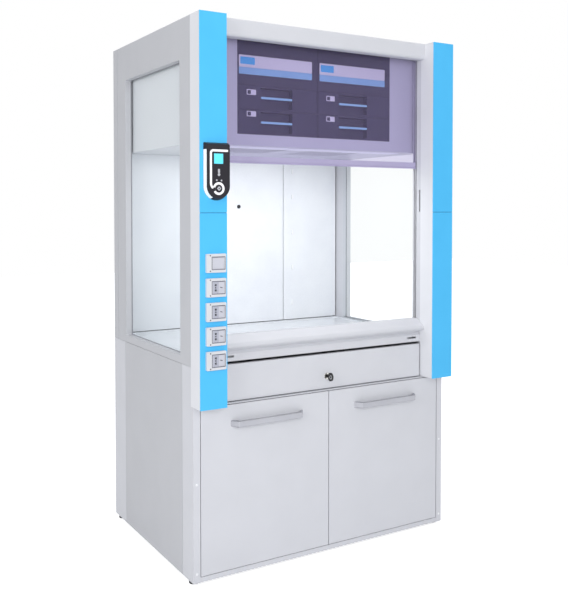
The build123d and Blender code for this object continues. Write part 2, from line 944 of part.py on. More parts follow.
# Roof with the exhaust collar
with BuildPart() as roof_panel:
    slab(
        (-half_width, half_width),
        (column_back + slip_gap, cabinet_depth),
        (hood_height - roof_sheet, hood_height),
    )
    slab(
        (-column_inner, column_inner),
        (column_back, sash_column_back - sheet),
        (hood_height - roof_sheet, hood_height),
        mode=Mode.SUBTRACT,
    )
    with BuildSketch(Plane.XY.offset(hood_height)):
        with Locations((0, y_at(fan_depth))):
            Circle(collar_radius + collar_flange)
    extrude(amount=sheet)
    with BuildSketch(Plane.XY.offset(hood_height)):
        with Locations((0, y_at(fan_depth))):
            Circle(collar_radius)
    extrude(amount=collar_height)
    with Locations((0, y_at(fan_depth), hood_height)):
        Cylinder(collar_radius - sheet, 3 * collar_height, mode=Mode.SUBTRACT)
    # Cable gland for the supply lead, closed by its blanking plug
    with BuildSketch(Plane.XY.offset(hood_height)):
        with Locations((gland_x, y_at(gland_depth))):
            RegularPolygon(gland_radius, 6)
    extrude(amount=gland_radius / 2)
    with BuildSketch(Plane.XY.offset(hood_height)):
        with Locations((gland_x, y_at(gland_depth))):
            Circle(gland_radius * 0.82)
    extrude(amount=gland_radius * 1.5)
finish(roof_panel, "roof_panel")

# Filter compartment
# Plenum: an open-topped sheet box with slotted inlets under the filter modules
module_row_half = module_width + module_gap / 2
plenum_top = hood_height - roof_sheet - panel_gap
plenum_half = wall_inner - glass_thick - 1
with BuildPart() as plenum:
    slab(
        (-plenum_half, plenum_half),
        (plenum_front, baffle_depth + baffle_thick),
        (plenum_bottom, plenum_top),
    )
    slab(
        (-plenum_half + sheet, plenum_half - sheet),
        (plenum_front + sheet, baffle_depth + baffle_thick - sheet),
        (plenum_bottom + sheet, plenum_top),
        mode=Mode.SUBTRACT,
    )
    slab(
        (-module_row_half, module_row_half),
        (plenum_front, plenum_front + sheet),
        (module_bottom, plenum_top),
        mode=Mode.SUBTRACT,
    )
    slab(
        (-lamp_length / 2, lamp_length / 2),
        (lamp_front, lamp_front + lamp_width),
        (plenum_bottom, plenum_bottom + sheet),
        mode=Mode.SUBTRACT,
    )
    inlet_middle = y_at(lamp_front + lamp_width + 2 * inlet_slot_width + inlet_slot_length / 2)
    for side in (-1, 1):
        with BuildSketch(Plane.XY.offset(plenum_bottom)):
            with Locations((side * module_row_half / 2, inlet_middle)):
                with GridLocations(2.5 * inlet_slot_width, 0, inlet_slot_count, 1):
                    SlotOverall(inlet_slot_length, inlet_slot_width, rotation=90)
        extrude(amount=sheet, mode=Mode.SUBTRACT)
finish(plenum, "plenum")


def filter_module(left_edge):
    """A module housing: two open drawer bays below a raised control strip."""
    right_edge = left_edge + module_width
    with BuildPart() as module:
        slab(
            (left_edge, right_edge),
            (plenum_front, plenum_front + module_depth),
            (module_bottom, module_top),
        )
        for low, high in ((module_bottom, drawer_split), (drawer_split, drawer_top)):
            slab(
                (left_edge + module_wall, right_edge - module_wall),
                (plenum_front, plenum_front + module_depth - module_wall),
                (low + module_wall / 2, high - module_wall / 2),
                mode=Mode.SUBTRACT,
            )
        slab(
            (left_edge + module_wall, right_edge - module_wall),
            (plenum_front + module_wall, plenum_front + module_depth - module_wall),
            (drawer_top + module_wall, module_top - module_wall),
            mode=Mode.SUBTRACT,
        )
        # Air passes up through the bays
        slab(
            (left_edge + 8 * module_wall, right_edge - 8 * module_wall),
            (plenum_front + 8 * module_wall, plenum_front + module_depth - 8 * module_wall),
            (module_bottom, module_top),
            mode=Mode.SUBTRACT,
        )
        strip_left = left_edge + control_strip_left
        with BuildSketch(Plane(origin=(0, y_at(plenum_front), 0), x_dir=(1, 0, 0), z_dir=(0, -1, 0))):
            with Locations(
                (strip_left + control_strip_width / 2, (control_strip_bottom + control_strip_top) / 2)
            ):
                RectangleRounded(control_strip_width, control_strip_top - control_strip_bottom, 5)
        extrude(amount=control_strip_proud)
    return module


def filter_drawer(left_edge, low, high):
    """A filter drawer: a closed cassette whose front has a pocket with a grip bar across it."""
    left = left_edge + module_wall + drawer_gap
    right = left_edge + module_width - module_wall - drawer_gap
    bottom = low + module_wall / 2 + slip_gap
    top = high - module_wall / 2 - drawer_gap
    pocket_left = left_edge + grip_pocket_left
    pocket_right = pocket_left + grip_pocket_width
    middle = (bottom + top) / 2
    slab((left, right), (plenum_front, plenum_front + drawer_length), (bottom, top))
    slab(
        (pocket_left, pocket_right),
        (plenum_front, plenum_front + grip_pocket_depth),
        (bottom + grip_pocket_margin, top - grip_pocket_margin),
        mode=Mode.SUBTRACT,
    )
    slab(
        (pocket_left, pocket_right),
        (plenum_front, plenum_front + grip_bar_thick),
        (middle - grip_bar_height / 2, middle + grip_bar_height / 2),
    )


module_edges = {"left": -module_row_half, "right": module_gap / 2}
for side_name, left_edge in module_edges.items():
    finish(filter_module(left_edge), f"filter_module_{side_name}")

with BuildPart() as filter_drawers:
    for left_edge in module_edges.values():
        filter_drawer(left_edge, module_bottom, drawer_split)
        filter_drawer(left_edge, drawer_split, drawer_top)
finish(filter_drawers, "filter_drawers")

# Lamp: a closed tray above the ceiling, with its lens in the cut-out
with BuildPart() as lamp_housing:
    slab(
        (-lamp_length / 2 - tray_return, lamp_length / 2 + tray_return),
        (lamp_front - tray_return, lamp_front + lamp_width + tray_return),
        (plenum_bottom + sheet, plenum_bottom + sheet + lamp_height),
    )
    slab(
        (-lamp_length / 2, lamp_length / 2),
        (lamp_front, lamp_front + lamp_width),
        (plenum_bottom + sheet, plenum_bottom + lamp_height),
        mode=Mode.SUBTRACT,
    )
finish(lamp_housing, "lamp_housing")

with BuildPart() as lamp_lens:
    slab(
        (-lamp_length / 2 + slip_gap, lamp_length / 2 - slip_gap),
        (lamp_front + slip_gap, lamp_front + lamp_width - slip_gap),
        (plenum_bottom - lens_thick / 2, plenum_bottom + lens_thick / 2),
    )
    fillet(lamp_lens.faces().sort_by(Axis.Z)[0].edges(), lens_thick / 3)
finish(lamp_lens, "lamp_lens")

# Exhaust fan
fan_top = hood_height - roof_sheet
fan_low = fan_top - fan_duct_length
with BuildPart() as fan_duct:
    # Duct with a flared inlet mouth and a flange under the roof, turned about the fan's axis
    with BuildSketch(Plane(origin=(0, y_at(fan_depth), 0), x_dir=(1, 0, 0), z_dir=(0, -1, 0))):
        with BuildLine():
            CenterArc(
                (fan_duct_radius + fan_mouth_radius, fan_low + fan_mouth_radius),
                fan_mouth_radius,
                180,
                90,
            )
            Line(
                (fan_duct_radius, fan_low + fan_mouth_radius),
                (fan_duct_radius, fan_top - sheet),
            )
            Line(
                (fan_duct_radius, fan_top - sheet),
                (fan_duct_radius + collar_flange, fan_top - sheet),
            )
            offset(amount=sheet, side=Side.BOTH)
        make_face()
    revolve(axis=Axis((0, y_at(fan_depth), 0), (0, 0, 1)))
    slab(
        (-2 * fan_duct_radius, 2 * fan_duct_radius),
        (fan_depth - 2 * fan_duct_radius, fan_depth + 2 * fan_duct_radius),
        (fan_top - slip_gap, fan_top + 4 * sheet),
        mode=Mode.SUBTRACT,
    )
finish(fan_duct, "fan_duct")

motor_low = hub_level + hub_height + motor_gap
strut_reach = math.sqrt((fan_duct_radius - sheet) ** 2 - (strut_width / 2) ** 2)
with BuildPart() as fan_motor:
    with BuildSketch(Plane.XY.offset(motor_low)):
        with Locations((0, y_at(fan_depth))):
            Circle(hub_radius)
    extrude(amount=motor_height)
    fillet(fan_motor.faces().sort_by(Axis.Z)[-1].edges(), motor_gap)
    with BuildSketch(Plane.XY.offset(motor_low + motor_height / 3)):
        with Locations((0, y_at(fan_depth))):
            with PolarLocations((strut_reach + hub_radius) / 2 - sheet, strut_count, start_angle=45):
                Rectangle(strut_reach - hub_radius + 2 * sheet, strut_width)
    extrude(amount=motor_height / 3)
    with Locations((0, y_at(fan_depth), motor_low)):
        Cylinder(
            shaft_radius + bearing_gap,
            2 * motor_gap,
            align=(Align.CENTER, Align.CENTER, Align.MIN),
            mode=Mode.SUBTRACT,
        )
finish(fan_motor, "fan_motor")

# Impeller blade: lofted from a steep root to a flat tip
root_pitch = 52
tip_pitch = 28
root_chord = 62
tip_chord = 78
blade_root = hub_radius - 2 * sheet
with BuildPart() as blade:
    blade_end = impeller_radius + blade_thick
    for reach, chord, pitch in ((blade_root, root_chord, root_pitch), (blade_end, tip_chord, tip_pitch)):
        with BuildSketch(Plane(origin=(reach, 0, hub_height / 2), x_dir=(0, 1, 0), z_dir=(1, 0, 0))):
            SlotOverall(chord, blade_thick, rotation=pitch)
    loft()
    Cylinder(impeller_radius, 4 * hub_height, mode=Mode.INTERSECT)

with BuildPart() as impeller:
    with BuildSketch(Plane.XY.offset(hub_level)):
        with Locations((0, y_at(fan_depth))):
            Circle(hub_radius)
    extrude(amount=hub_height)
    fillet(impeller.faces().sort_by(Axis.Z)[0].edges(), hub_radius / 3)
    with Locations((0, y_at(fan_depth), hub_level)):
        with PolarLocations(0, blade_count):
            add(blade.part)
    with BuildSketch(Plane.XY.offset(hub_level + hub_height)):
        with Locations((0, y_at(fan_depth))):
            Circle(shaft_radius)
    extrude(amount=motor_gap + 2 * motor_gap - slip_gap)
finish(impeller, "impeller")

# Sash panes and guides
pane_half = column_inner + pane_edge_in_column
with BuildPart() as sash_pane:
    slab(
        (-pane_half, pane_half),
        (sash_depth - pane_thick / 2, sash_depth + pane_thick / 2),
        (sash_low_edge, sash_low_edge + pane_height),
    )
finish(sash_pane, "sash_pane")

with BuildPart() as upper_pane:
    slab(
        (-pane_half, pane_half),
        (upper_pane_depth - pane_thick / 2, upper_pane_depth + pane_thick / 2),
        (sash_low_edge, sash_low_edge + pane_height),
    )
finish(upper_pane, "upper_pane")

# Finger grip along the lower edge of the sash
grip_back = sash_depth - pane_thick / 2
with BuildPart() as sash_grip:
    with BuildSketch(Plane.YZ.offset(-column_inner + grip_proud)):
        with BuildLine():
            Polyline(
                (y_at(grip_back), sash_low_edge + grip_height),
                (y_at(grip_back - grip_wall), sash_low_edge + grip_height),
                (y_at(grip_back - grip_wall), sash_low_edge + 2 * grip_wall),
                (y_at(grip_back - grip_proud), sash_low_edge + grip_wall),
                (y_at(grip_back - grip_proud), sash_low_edge),
                (y_at(grip_back), sash_low_edge),
                close=True,
            )
        make_face()
    extrude(amount=2 * (column_inner - grip_proud))
finish(sash_grip, "sash_grip")

# Guides: front lip, dividing rib and rear lip between two end blocks
front_lip_back = sash_depth - pane_thick / 2 - guide_side_gap
rib_front = sash_depth + pane_thick / 2 + guide_side_gap
rib_back = upper_pane_depth - pane_thick / 2 - guide_side_gap
with BuildPart() as sash_guides:
    with BuildSketch(Plane.XY.offset(guide_low)):
        for x_width, depth_low, depth_high in (
            (guide_lip, guide_front, front_lip_back),
            (guide_rib, rib_front, rib_back),
            (guide_rib, rear_lip_front, guide_back),
        ):
            with Locations((-column_inner - x_width / 2, y_at((depth_low + depth_high) / 2))):
                Rectangle(x_width, depth_high - depth_low)
    extrude(amount=guide_high - guide_low)
    for low in (guide_low, guide_high - guide_end):
        slab(
            (-column_inner - guide_lip, -column_inner),
            (guide_front, guide_back),
            (low, low + guide_end),
        )
    mirror(about=Plane.YZ)
finish(sash_guides, "sash_guides")

# Sash drive
# Two steps of one pulley drive the sash belt and, half as fast, the belt of the upper pane
pane_belt_radius = belt_radius / 2
belt_inner_gap = 0.2
sash_rim = belt_radius - belt_thick / 2 - belt_inner_gap
pane_rim = pane_belt_radius - belt_thick / 2 - belt_inner_gap


def drive_plane(inset, level):
    """Plane across the drive's axis, this far into the left column from its inner face."""
    return Plane(
        origin=(-column_inner - inset, y_at(drive_depth), level),
        x_dir=(0, 1, 0),
        z_dir=(-1, 0, 0),
    )


def stepped_pulley(level):
    """Large step for the sash belt and small step for the upper pane's belt."""
    rim_margin = (pulley_rim - belt_width) / 2
    step_start = pane_belt_inset - rim_margin
    large_start = sash_belt_inset - rim_margin
    from_start = (Align.CENTER, Align.CENTER, Align.MIN)
    with Locations(drive_plane(large_start, level)):
        Cylinder(sash_rim, step_start - large_start, align=from_start)
    with Locations(drive_plane(step_start, level)):
        Cylinder(pane_rim, pulley_rim, align=from_start)


with BuildPart() as drive_shaft:
    stepped_pulley(drive_top_level)
    mirror(about=Plane.YZ)
    shaft_half = column_inner + pane_belt_inset + pulley_rim
    with Locations(Plane(origin=(0, y_at(drive_depth), drive_top_level), z_dir=(1, 0, 0))):
        Cylinder(shaft_radius, 2 * shaft_half)
finish(drive_shaft, "drive_shaft")

with BuildPart() as lower_pulleys:
    stepped_pulley(drive_low_level)
    with Locations(drive_plane(0, drive_low_level)):
        Cylinder(
            shaft_radius + bearing_gap,
            2 * column_width,
            mode=Mode.SUBTRACT,
        )
    mirror(about=Plane.YZ)
finish(lower_pulleys, "lower_pulleys")

# Bushes of the cross shaft, pressed into the inner walls of the columns
with BuildPart() as shaft_bushes:
    with BuildSketch(drive_plane(-2 * sheet, drive_top_level)):
        Circle(bush_radius)
        Circle(shaft_radius + bearing_gap, mode=Mode.SUBTRACT)
    extrude(amount=sash_belt_inset - slip_gap)
    mirror(about=Plane.YZ)
finish(shaft_bushes, "shaft_bushes")


def belt_loops(inset, radius):
    """A pair of closed belts, each round an upper and a lower pulley step."""
    run = drive_top_level - drive_low_level
    with BuildPart() as loops:
        with BuildSketch(drive_plane(inset, (drive_top_level + drive_low_level) / 2)):
            SlotCenterToCenter(run, 2 * radius + belt_thick, rotation=90)
            SlotCenterToCenter(run, 2 * radius - belt_thick, rotation=90, mode=Mode.SUBTRACT)
        extrude(amount=belt_width)
        mirror(about=Plane.YZ)
    return loops


finish(belt_loops(sash_belt_inset, belt_radius), "sash_belts")
finish(belt_loops(pane_belt_inset, pane_belt_radius), "pane_belts")

# Counterweights, each clamped to the front run of its sash belt
front_run = drive_depth - belt_radius
rear_run = drive_depth + belt_radius
weight_outer = column_inner + counterweight_inset + counterweight_width
weight_middle = drive_depth - counterweight_forward
with BuildPart() as counterweights:
    slab(
        (-weight_outer, -column_inner - counterweight_inset),
        (weight_middle - counterweight_depth / 2, weight_middle + counterweight_depth / 2),
        (counterweight_low, counterweight_low + counterweight_height),
    )
    chamfer(counterweights.edges().filter_by(Axis.Z), 4)
    clamp_low = counterweight_low + counterweight_height - 2 * clamp_height
    slab(
        (-column_inner - counterweight_inset, -column_inner - sash_belt_inset),
        (
            front_run + belt_thick / 2 + slip_gap,
            front_run + belt_thick / 2 + slip_gap + clamp_thick,
        ),
        (clamp_low, clamp_low + clamp_height),
    )
    slab(
        (-column_inner - counterweight_inset - clamp_thick, -column_inner - counterweight_inset),
        (
            front_run + belt_thick / 2 + slip_gap,
            weight_middle,
        ),
        (clamp_low, clamp_low + clamp_height),
    )
    mirror(about=Plane.YZ)
finish(counterweights, "counterweights")

# Carriages: brackets from the edges of the panes to the rear runs of the belts
carriage_high = sash_low_edge + pane_height - panel_gap
carriage_low = carriage_high - clamp_height
with BuildPart() as sash_carriages:
    slab(
        (-column_inner - sash_belt_inset - belt_width, -pane_half),
        (rear_run + belt_thick / 2 + slip_gap, sash_depth + pane_thick / 2),
        (carriage_low, carriage_high),
    )
    mirror(about=Plane.YZ)
finish(sash_carriages, "sash_carriages")

pane_run = drive_depth + pane_belt_radius
with BuildPart() as pane_carriages:
    slab(
        (-column_inner - pane_belt_inset - belt_width, -pane_half),
        (upper_pane_depth - pane_thick / 2, upper_pane_depth + pane_thick / 2),
        (carriage_low, carriage_high),
    )
    slab(
        (-column_inner - pane_belt_inset - belt_width, -column_inner - pane_belt_inset),
        (pane_run + belt_thick / 2 + slip_gap, upper_pane_depth),
        (carriage_low, carriage_high),
    )
    mirror(about=Plane.YZ)
finish(pane_carriages, "pane_carriages")

# Control pod
pod_x = -half_width + pod_centre_from_side
pod_face = Plane(origin=(pod_x, y_at(-column_proud), 0), x_dir=(1, 0, 0), z_dir=(0, -1, 0))


with BuildPart() as control_pod:
    # The outline grows from the front face to the foot on the column
    for proud, spread in ((0, pod_flare), (pod_depth, 0)):
        half = pod_width / 2 + spread
        straight_low = pod_bottom + pod_width / 2
        with BuildSketch(pod_face.offset(proud)):
            with BuildLine():
                Line((-half, straight_low), (-half, pod_top + spread))
                Line((-half, pod_top + spread), (half, pod_top + spread))
                Line((half, pod_top + spread), (half, straight_low))
                ThreePointArc((half, straight_low), (0, straight_low - half), (-half, straight_low))
            make_face()
            fillet(vertices().group_by(Axis.Y)[-1], pod_corner)
    loft()
    with BuildSketch(pod_face.offset(pod_depth)):
        with Locations((0, screen_level)):
            Rectangle(screen_size, screen_size)
    extrude(amount=-screen_recess, mode=Mode.SUBTRACT)
    with BuildSketch(pod_face.offset(pod_depth)):
        with Locations((0, button_level)):
            Circle(button_radius + slip_gap)
    extrude(amount=-button_well, mode=Mode.SUBTRACT)
finish(control_pod, "control_pod")

with BuildPart() as pod_button:
    with BuildSketch(pod_face.offset(pod_depth + button_proud)):
        with Locations((0, button_level)):
            Circle(button_radius)
    extrude(amount=-(button_well + button_proud - button_travel - panel_gap))
    fillet(pod_button.faces().sort_by(Axis.Y)[0].edges(), 1)
finish(pod_button, "pod_button")

# Wiring boxes
box_front = -column_proud - box_proud
box_rear = box_front + box_proud + box_depth
with BuildPart() as wiring_boxes:
    for level in box_levels:
        with BuildSketch(
            Plane(origin=(box_centre_x, y_at(-column_proud), level), x_dir=(1, 0, 0), z_dir=(0, -1, 0))
        ):
            RectangleRounded(box_width, box_height, box_corner)
        extrude(amount=box_proud)
    fillet(wiring_boxes.faces().filter_by(Axis.Y).group_by(Axis.Y)[0].edges(), sheet)
    for level in box_levels:
        half_back = back_box_size / 2
        slab(
            (bay_centre_x - half_back, bay_centre_x + half_back),
            (-column_proud, box_rear),
            (level - half_back, level + half_back),
        )
        slab(
            (bay_centre_x - bay_size / 2, bay_centre_x + bay_size / 2),
            (box_front, box_rear - box_wall),
            (level - bay_size / 2, level + bay_size / 2),
            mode=Mode.SUBTRACT,
        )
        pin_plane = Plane(origin=(bay_centre_x, y_at(-column_proud - 1), level), z_dir=(1, 0, 0))
        with Locations(pin_plane):
            Cylinder(
                rocker_pin_radius + bearing_gap,
                bay_size + 2 * rocker_pin_length + slip_gap,
                mode=Mode.SUBTRACT,
            )
finish(wiring_boxes, "wiring_boxes")

# Socket modules fill the left half of every bay but the first
bay_left = bay_centre_x - bay_size / 2
socket_front = box_front + panel_gap
with BuildPart() as socket_modules:
    for level in box_levels[1:]:
        slab(
            (bay_left + slip_gap, bay_left + insert_width),
            (socket_front, box_rear - 2 * box_wall),
            (level - bay_size / 2 + slip_gap, level + bay_size / 2 - slip_gap),
        )
        socket_face = Plane(
            origin=(bay_left + insert_width / 2, y_at(socket_front), level),
            x_dir=(1, 0, 0),
            z_dir=(0, -1, 0),
        )
        with BuildSketch(socket_face):
            with GridLocations(0, socket_pitch, 1, 3):
                Circle(socket_hole_radius)
        extrude(amount=-socket_hole_depth, mode=Mode.SUBTRACT)
        with Locations(
            Plane(origin=(bay_left + insert_width, y_at(-column_proud - 1), level), z_dir=(1, 0, 0))
        ):
            Cylinder(
                rocker_pin_radius + bearing_gap,
                2 * (rocker_pin_length + slip_gap),
                mode=Mode.SUBTRACT,
            )
finish(socket_modules, "socket_modules")


def rocker(level, left, right):
    """A rocker key with a shallow V front, tipped to one side of its pin."""
    width = right - left - 2 * rocker_gap
    pin_plane = Plane(
        origin=((left + right) / 2, y_at(-column_proud - 1), level),
        x_dir=(0, 1, 0),
        z_dir=(1, 0, 0),
    )
    half = rocker_height / 2
    with BuildPart() as key:
        with BuildSketch(pin_plane.offset(-width / 2)):
            with BuildLine():
                Polyline(
                    (rocker_pin_radius + 1, -half / 3),
                    (-rocker_thick / 2, -half),
                    (-rocker_thick - 1, -half),
                    (-rocker_thick, 0),
                    (-rocker_thick - 1, half),
                    (-rocker_thick / 2, half),
                    (rocker_pin_radius + 1, half / 3),
                    close=True,
                )
            make_face()
        extrude(amount=width)
        with Locations(pin_plane):
            Cylinder(rocker_pin_radius, width + 2 * (rocker_gap + rocker_pin_length))
    tipped = Rotation(rocker_tilt, 0, 0)
    with BuildPart() as placed:
        pivot = Location((0, y_at(-column_proud - 1), level))
        add(pivot * tipped * (pivot.inverse() * key.part))
    return placed


for index, level in enumerate(box_levels):
    rocker_left = bay_left if index == 0 else bay_left + insert_width
    rocker_right = bay_left + bay_size
    finish(rocker(level, rocker_left, rocker_right), f"rocker_{index + 1}")
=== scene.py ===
import math

import bpy
import numpy as np
from mathutils import Matrix, Vector


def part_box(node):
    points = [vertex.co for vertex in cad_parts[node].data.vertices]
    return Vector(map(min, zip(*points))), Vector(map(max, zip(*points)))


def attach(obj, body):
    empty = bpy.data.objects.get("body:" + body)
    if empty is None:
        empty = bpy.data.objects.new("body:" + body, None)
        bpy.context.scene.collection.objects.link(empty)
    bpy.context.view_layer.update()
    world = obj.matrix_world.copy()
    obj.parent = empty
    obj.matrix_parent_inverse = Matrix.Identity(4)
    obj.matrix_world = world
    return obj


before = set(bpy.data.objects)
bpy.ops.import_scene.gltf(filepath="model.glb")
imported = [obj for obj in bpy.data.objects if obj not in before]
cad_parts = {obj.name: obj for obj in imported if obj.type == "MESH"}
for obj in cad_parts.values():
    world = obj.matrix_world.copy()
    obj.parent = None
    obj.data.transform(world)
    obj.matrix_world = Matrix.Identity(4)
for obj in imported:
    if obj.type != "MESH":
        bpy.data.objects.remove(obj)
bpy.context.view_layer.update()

# Base cabinet: posts, panels, pan and doors of folded sheet steel with a baked pale grey powder coat.
# The panels hang between the posts, and the two doors turn on pins behind their outer edges.
# The left side's sheets, up to the roof, wear a deeper grey than the rest: painted shade, as that side lies
# in shadow.
mm = 0.001
cloud_size = 125
roughness_spread = 0.06


def linear(code):
    """Linear light from an sRGB hex code, by the standard curve, with full alpha."""
    values = np.array([int(code[i : i + 2], 16) for i in (1, 3, 5)]) / 255
    light = np.where(values <= 0.04045, values / 12.92, ((values + 0.055) / 1.055) ** 2.4)
    return (*light.tolist(), 1.0)


def add(tree, kind, inputs=None, **settings):
    """Adds one node with its settings; inputs maps sockets to values or to other nodes' outputs."""
    made = tree.nodes.new(kind)
    for name, value in settings.items():
        setattr(made, name, value)
    for name, value in (inputs or {}).items():
        if isinstance(value, bpy.types.NodeSocket):
            tree.links.new(value, made.inputs[name])
        else:
            made.inputs[name].default_value = value
    return made


def between(tree, share, low, high):
    """A value that runs from low to high while share runs from 0 to 1."""
    made = add(tree, "ShaderNodeMapRange", {"Value": share, "To Min": low, "To Max": high})
    return made.outputs["Result"]


def blank(name):
    """A new material with an empty node tree."""
    made = bpy.data.materials.new(name)
    made.use_nodes = True
    made.node_tree.nodes.clear()
    return made


def skin(name, code, shade, roughness, grain, height, metallic=0.0, coat=0.0, shine=0.5):
    """An opaque finish: soft clouds between two near colours, and bumps one grain apart and height deep,
    in mm, whose noise also varies the roughness a little."""
    made = blank(name)
    tree = made.node_tree
    place = add(tree, "ShaderNodeTexCoord").outputs["Object"]
    clouds = {"Vector": place, "Scale": 1 / (cloud_size * mm), "Detail": 3.0}
    grains = {"Vector": place, "Scale": 1 / (grain * mm), "Detail": 2.0}
    cloud = add(tree, "ShaderNodeTexNoise", clouds).outputs["Fac"]
    fine = add(tree, "ShaderNodeTexNoise", grains).outputs["Fac"]
    tone = add(tree, "ShaderNodeValToRGB", {"Fac": cloud})
    for stop, position, colour in zip(tone.color_ramp.elements, (0.35, 0.65), (shade, code)):
        stop.position = position
        stop.color = linear(colour)
    bump = add(tree, "ShaderNodeBump", {"Height": fine, "Strength": 0.35, "Distance": height * mm})
    shader = add(
        tree,
        "ShaderNodeBsdfPrincipled",
        {
            "Base Color": tone.outputs["Color"],
            "Roughness": between(tree, fine, roughness - roughness_spread, roughness + roughness_spread),
            "Normal": bump.outputs["Normal"],
            "Metallic": metallic,
            "Coat Weight": coat,
            "Specular IOR Level": shine,
        },
    )
    add(tree, "ShaderNodeOutputMaterial", {"Surface": shader.outputs["BSDF"]})
    return made


def dress(material, *names):
    """Gives CAD nodes a material in every slot, or a first slot where a node has none."""
    for name in names:
        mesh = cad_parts[name].data
        if not mesh.materials:
            mesh.materials.append(material)
        for i in range(len(mesh.materials)):
            mesh.materials[i] = material


grey_coat = skin("powder_coated_steel_pale_grey", "#CDCED3", "#CBCCD1", 0.45, 1.6, 0.05, shine=0.35)
# The deeper grey of this copy of the coat is painted shade for the left side.
shaded_side_coat = skin("powder_coated_steel_painted_shade_grey", "#BFC0C4", "#BDBEC2", 0.5, 1.6, 0.05, shine=0.3)
dress(grey_coat, "base_frame", "base_shelf", "door_left", "door_right", "service_flap")
dress(grey_coat, "base_back_panel", "upper_back_panel")
dress(shaded_side_coat, "base_panel_left", "side_wall_left")
dress(grey_coat, "base_panel_right", "side_wall_right")

# Plugs: pale snap-in caps of polyethylene that close the service holes in the two front posts.
# Each is a low dome whose rim lies on the face of its post.
cabinet_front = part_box("door_left")[0].y / mm
post_side = -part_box("base_frame")[0].x / mm
plug_white = skin("moulded_polyethylene_white", "#ECEDEF", "#E8E9EC", 0.5, 3.0, 0.04)
plug_radius, plug_rise, plug_inset = 4.6, 1.4, 14
plug_levels = (46, 379)
smooth_angle = 35


def strips(count, rings):
    """Quads between closed rings of count points each, with an outward-facing cap on both ends."""
    i = np.arange(count)
    j = (i + 1) % count
    faces = []
    for low in range(0, (rings - 1) * count, count):
        faces += np.stack((low + i, low + j, low + count + j, low + count + i), 1).tolist()
    faces.append(i[::-1].tolist())
    faces.append(((rings - 1) * count + i).tolist())
    return faces


def dome(radius, height, centre, rings=6, count=24):
    """Low dome towards the front: rings at radius * cos(t) that rise by height * sin(t), for t from 0 to
    82 degrees."""
    t = np.radians(np.linspace(0, 82, rings))[:, None]
    around = np.linspace(0, 2 * math.pi, count, endpoint=False)[None]
    x = radius * np.cos(t) * np.cos(around)
    z = radius * np.cos(t) * np.sin(around)
    y = np.broadcast_to(-height * np.sin(t), x.shape)
    points = np.stack((x, y, z), 2).reshape(-1, 3) + np.asarray(centre, float)
    return points, strips(count, rings)


def joined(shapes):
    """One array of points and one list of faces from several (points, faces) shapes."""
    points, faces, start = [], [], 0
    for shape_points, shape_faces in shapes:
        points.append(shape_points)
        faces += [[start + k for k in face] for face in shape_faces]
        start += len(shape_points)
    return np.concatenate(points), faces


def mesh_piece(name, shapes, body, material, smooth=True):
    """A mesh object at the origin from (points, faces) shapes in mm, riding on a body, with edges under
    the smooth angle shaded smooth."""
    points, faces = joined(shapes)
    mesh = bpy.data.meshes.new(name)
    mesh.from_pydata((points * mm).tolist(), [], faces)
    mesh.materials.append(material)
    piece = bpy.data.objects.new(name, mesh)
    bpy.context.scene.collection.objects.link(piece)
    if smooth:
        mesh.shade_smooth()
        mesh.set_sharp_from_angle(angle=math.radians(smooth_angle))
    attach(piece, body)


plug_shapes = [
    dome(plug_radius, plug_rise, (side * (post_side - plug_inset), cabinet_front, level))
    for side in (-1, 1)
    for level in plug_levels
]
mesh_piece("post_plugs", plug_shapes, "cabinet", plug_white)

# Feet: hard rubber pads moulded on steel stems, with a hexagon for the spanner.
# They are dull black all over and screw into the cabinet's frame from below.
foot_rubber = skin("moulded_hard_rubber_black", "#1C1C1E", "#161618", 0.7, 1.2, 0.06)
dress(foot_rubber, "levelling_feet")

# Door handles: flat bars of cast aluminium, bent back at both ends, glass-bead blasted and anodised.
# Blasting leaves a fine even grain that spreads the shine.
handle_metal = skin("anodised_aluminium_bead_blasted", "#A6A7AD", "#A0A1A7", 0.3, 0.9, 0.03, metallic=0.9)
dress(handle_metal, "handle_left", "handle_right")

# Service flap: its lock is a nickel-plated barrel, and the key stands in it.
# The plating is smooth and bright, with a faint grain about a millimetre apart.
lock_low, lock_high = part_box("flap_lock")
lock_x = (lock_low.x + lock_high.x) / 2 / mm
lock_level = (lock_low.z + lock_high.z) / 2 / mm
nickel = skin("nickel_plated_brass", "#C9C8C4", "#BDBCB8", 0.22, 1.0, 0.02, metallic=1.0)
dress(nickel, "flap_lock")

# Key head: a thick moulded shell of black nylon with an eye for a tag.
# A pale ring is printed round the eye, on the side that faces left.
key_nylon = skin("moulded_nylon_black", "#17171A", "#101012", 0.38, 1.4, 0.05)
dress(key_nylon, "lock_key")
ring_mark = skin("printed_ring_pale_grey", "#C9CACC", "#C2C3C6", 0.5, 2.0, 0.02)
eye_setback = 9.6
eye_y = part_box("lock_key")[0].y / mm + eye_setback
head_half = 3.5
mark_outer, mark_inner, mark_rise = 7.6, 5.4, 0.3
closed_from, closed_to = 2, 358


def annulus(outer, inner, start, end, steps=40):
    """Outline of a ring sector: the outer arc forwards, then the inner arc backwards, angles in degrees."""
    angle = np.radians(np.linspace(start, end, steps))
    around = np.stack((np.cos(angle), np.sin(angle)), 1)
    return np.concatenate((around * outer, around[::-1] * inner))


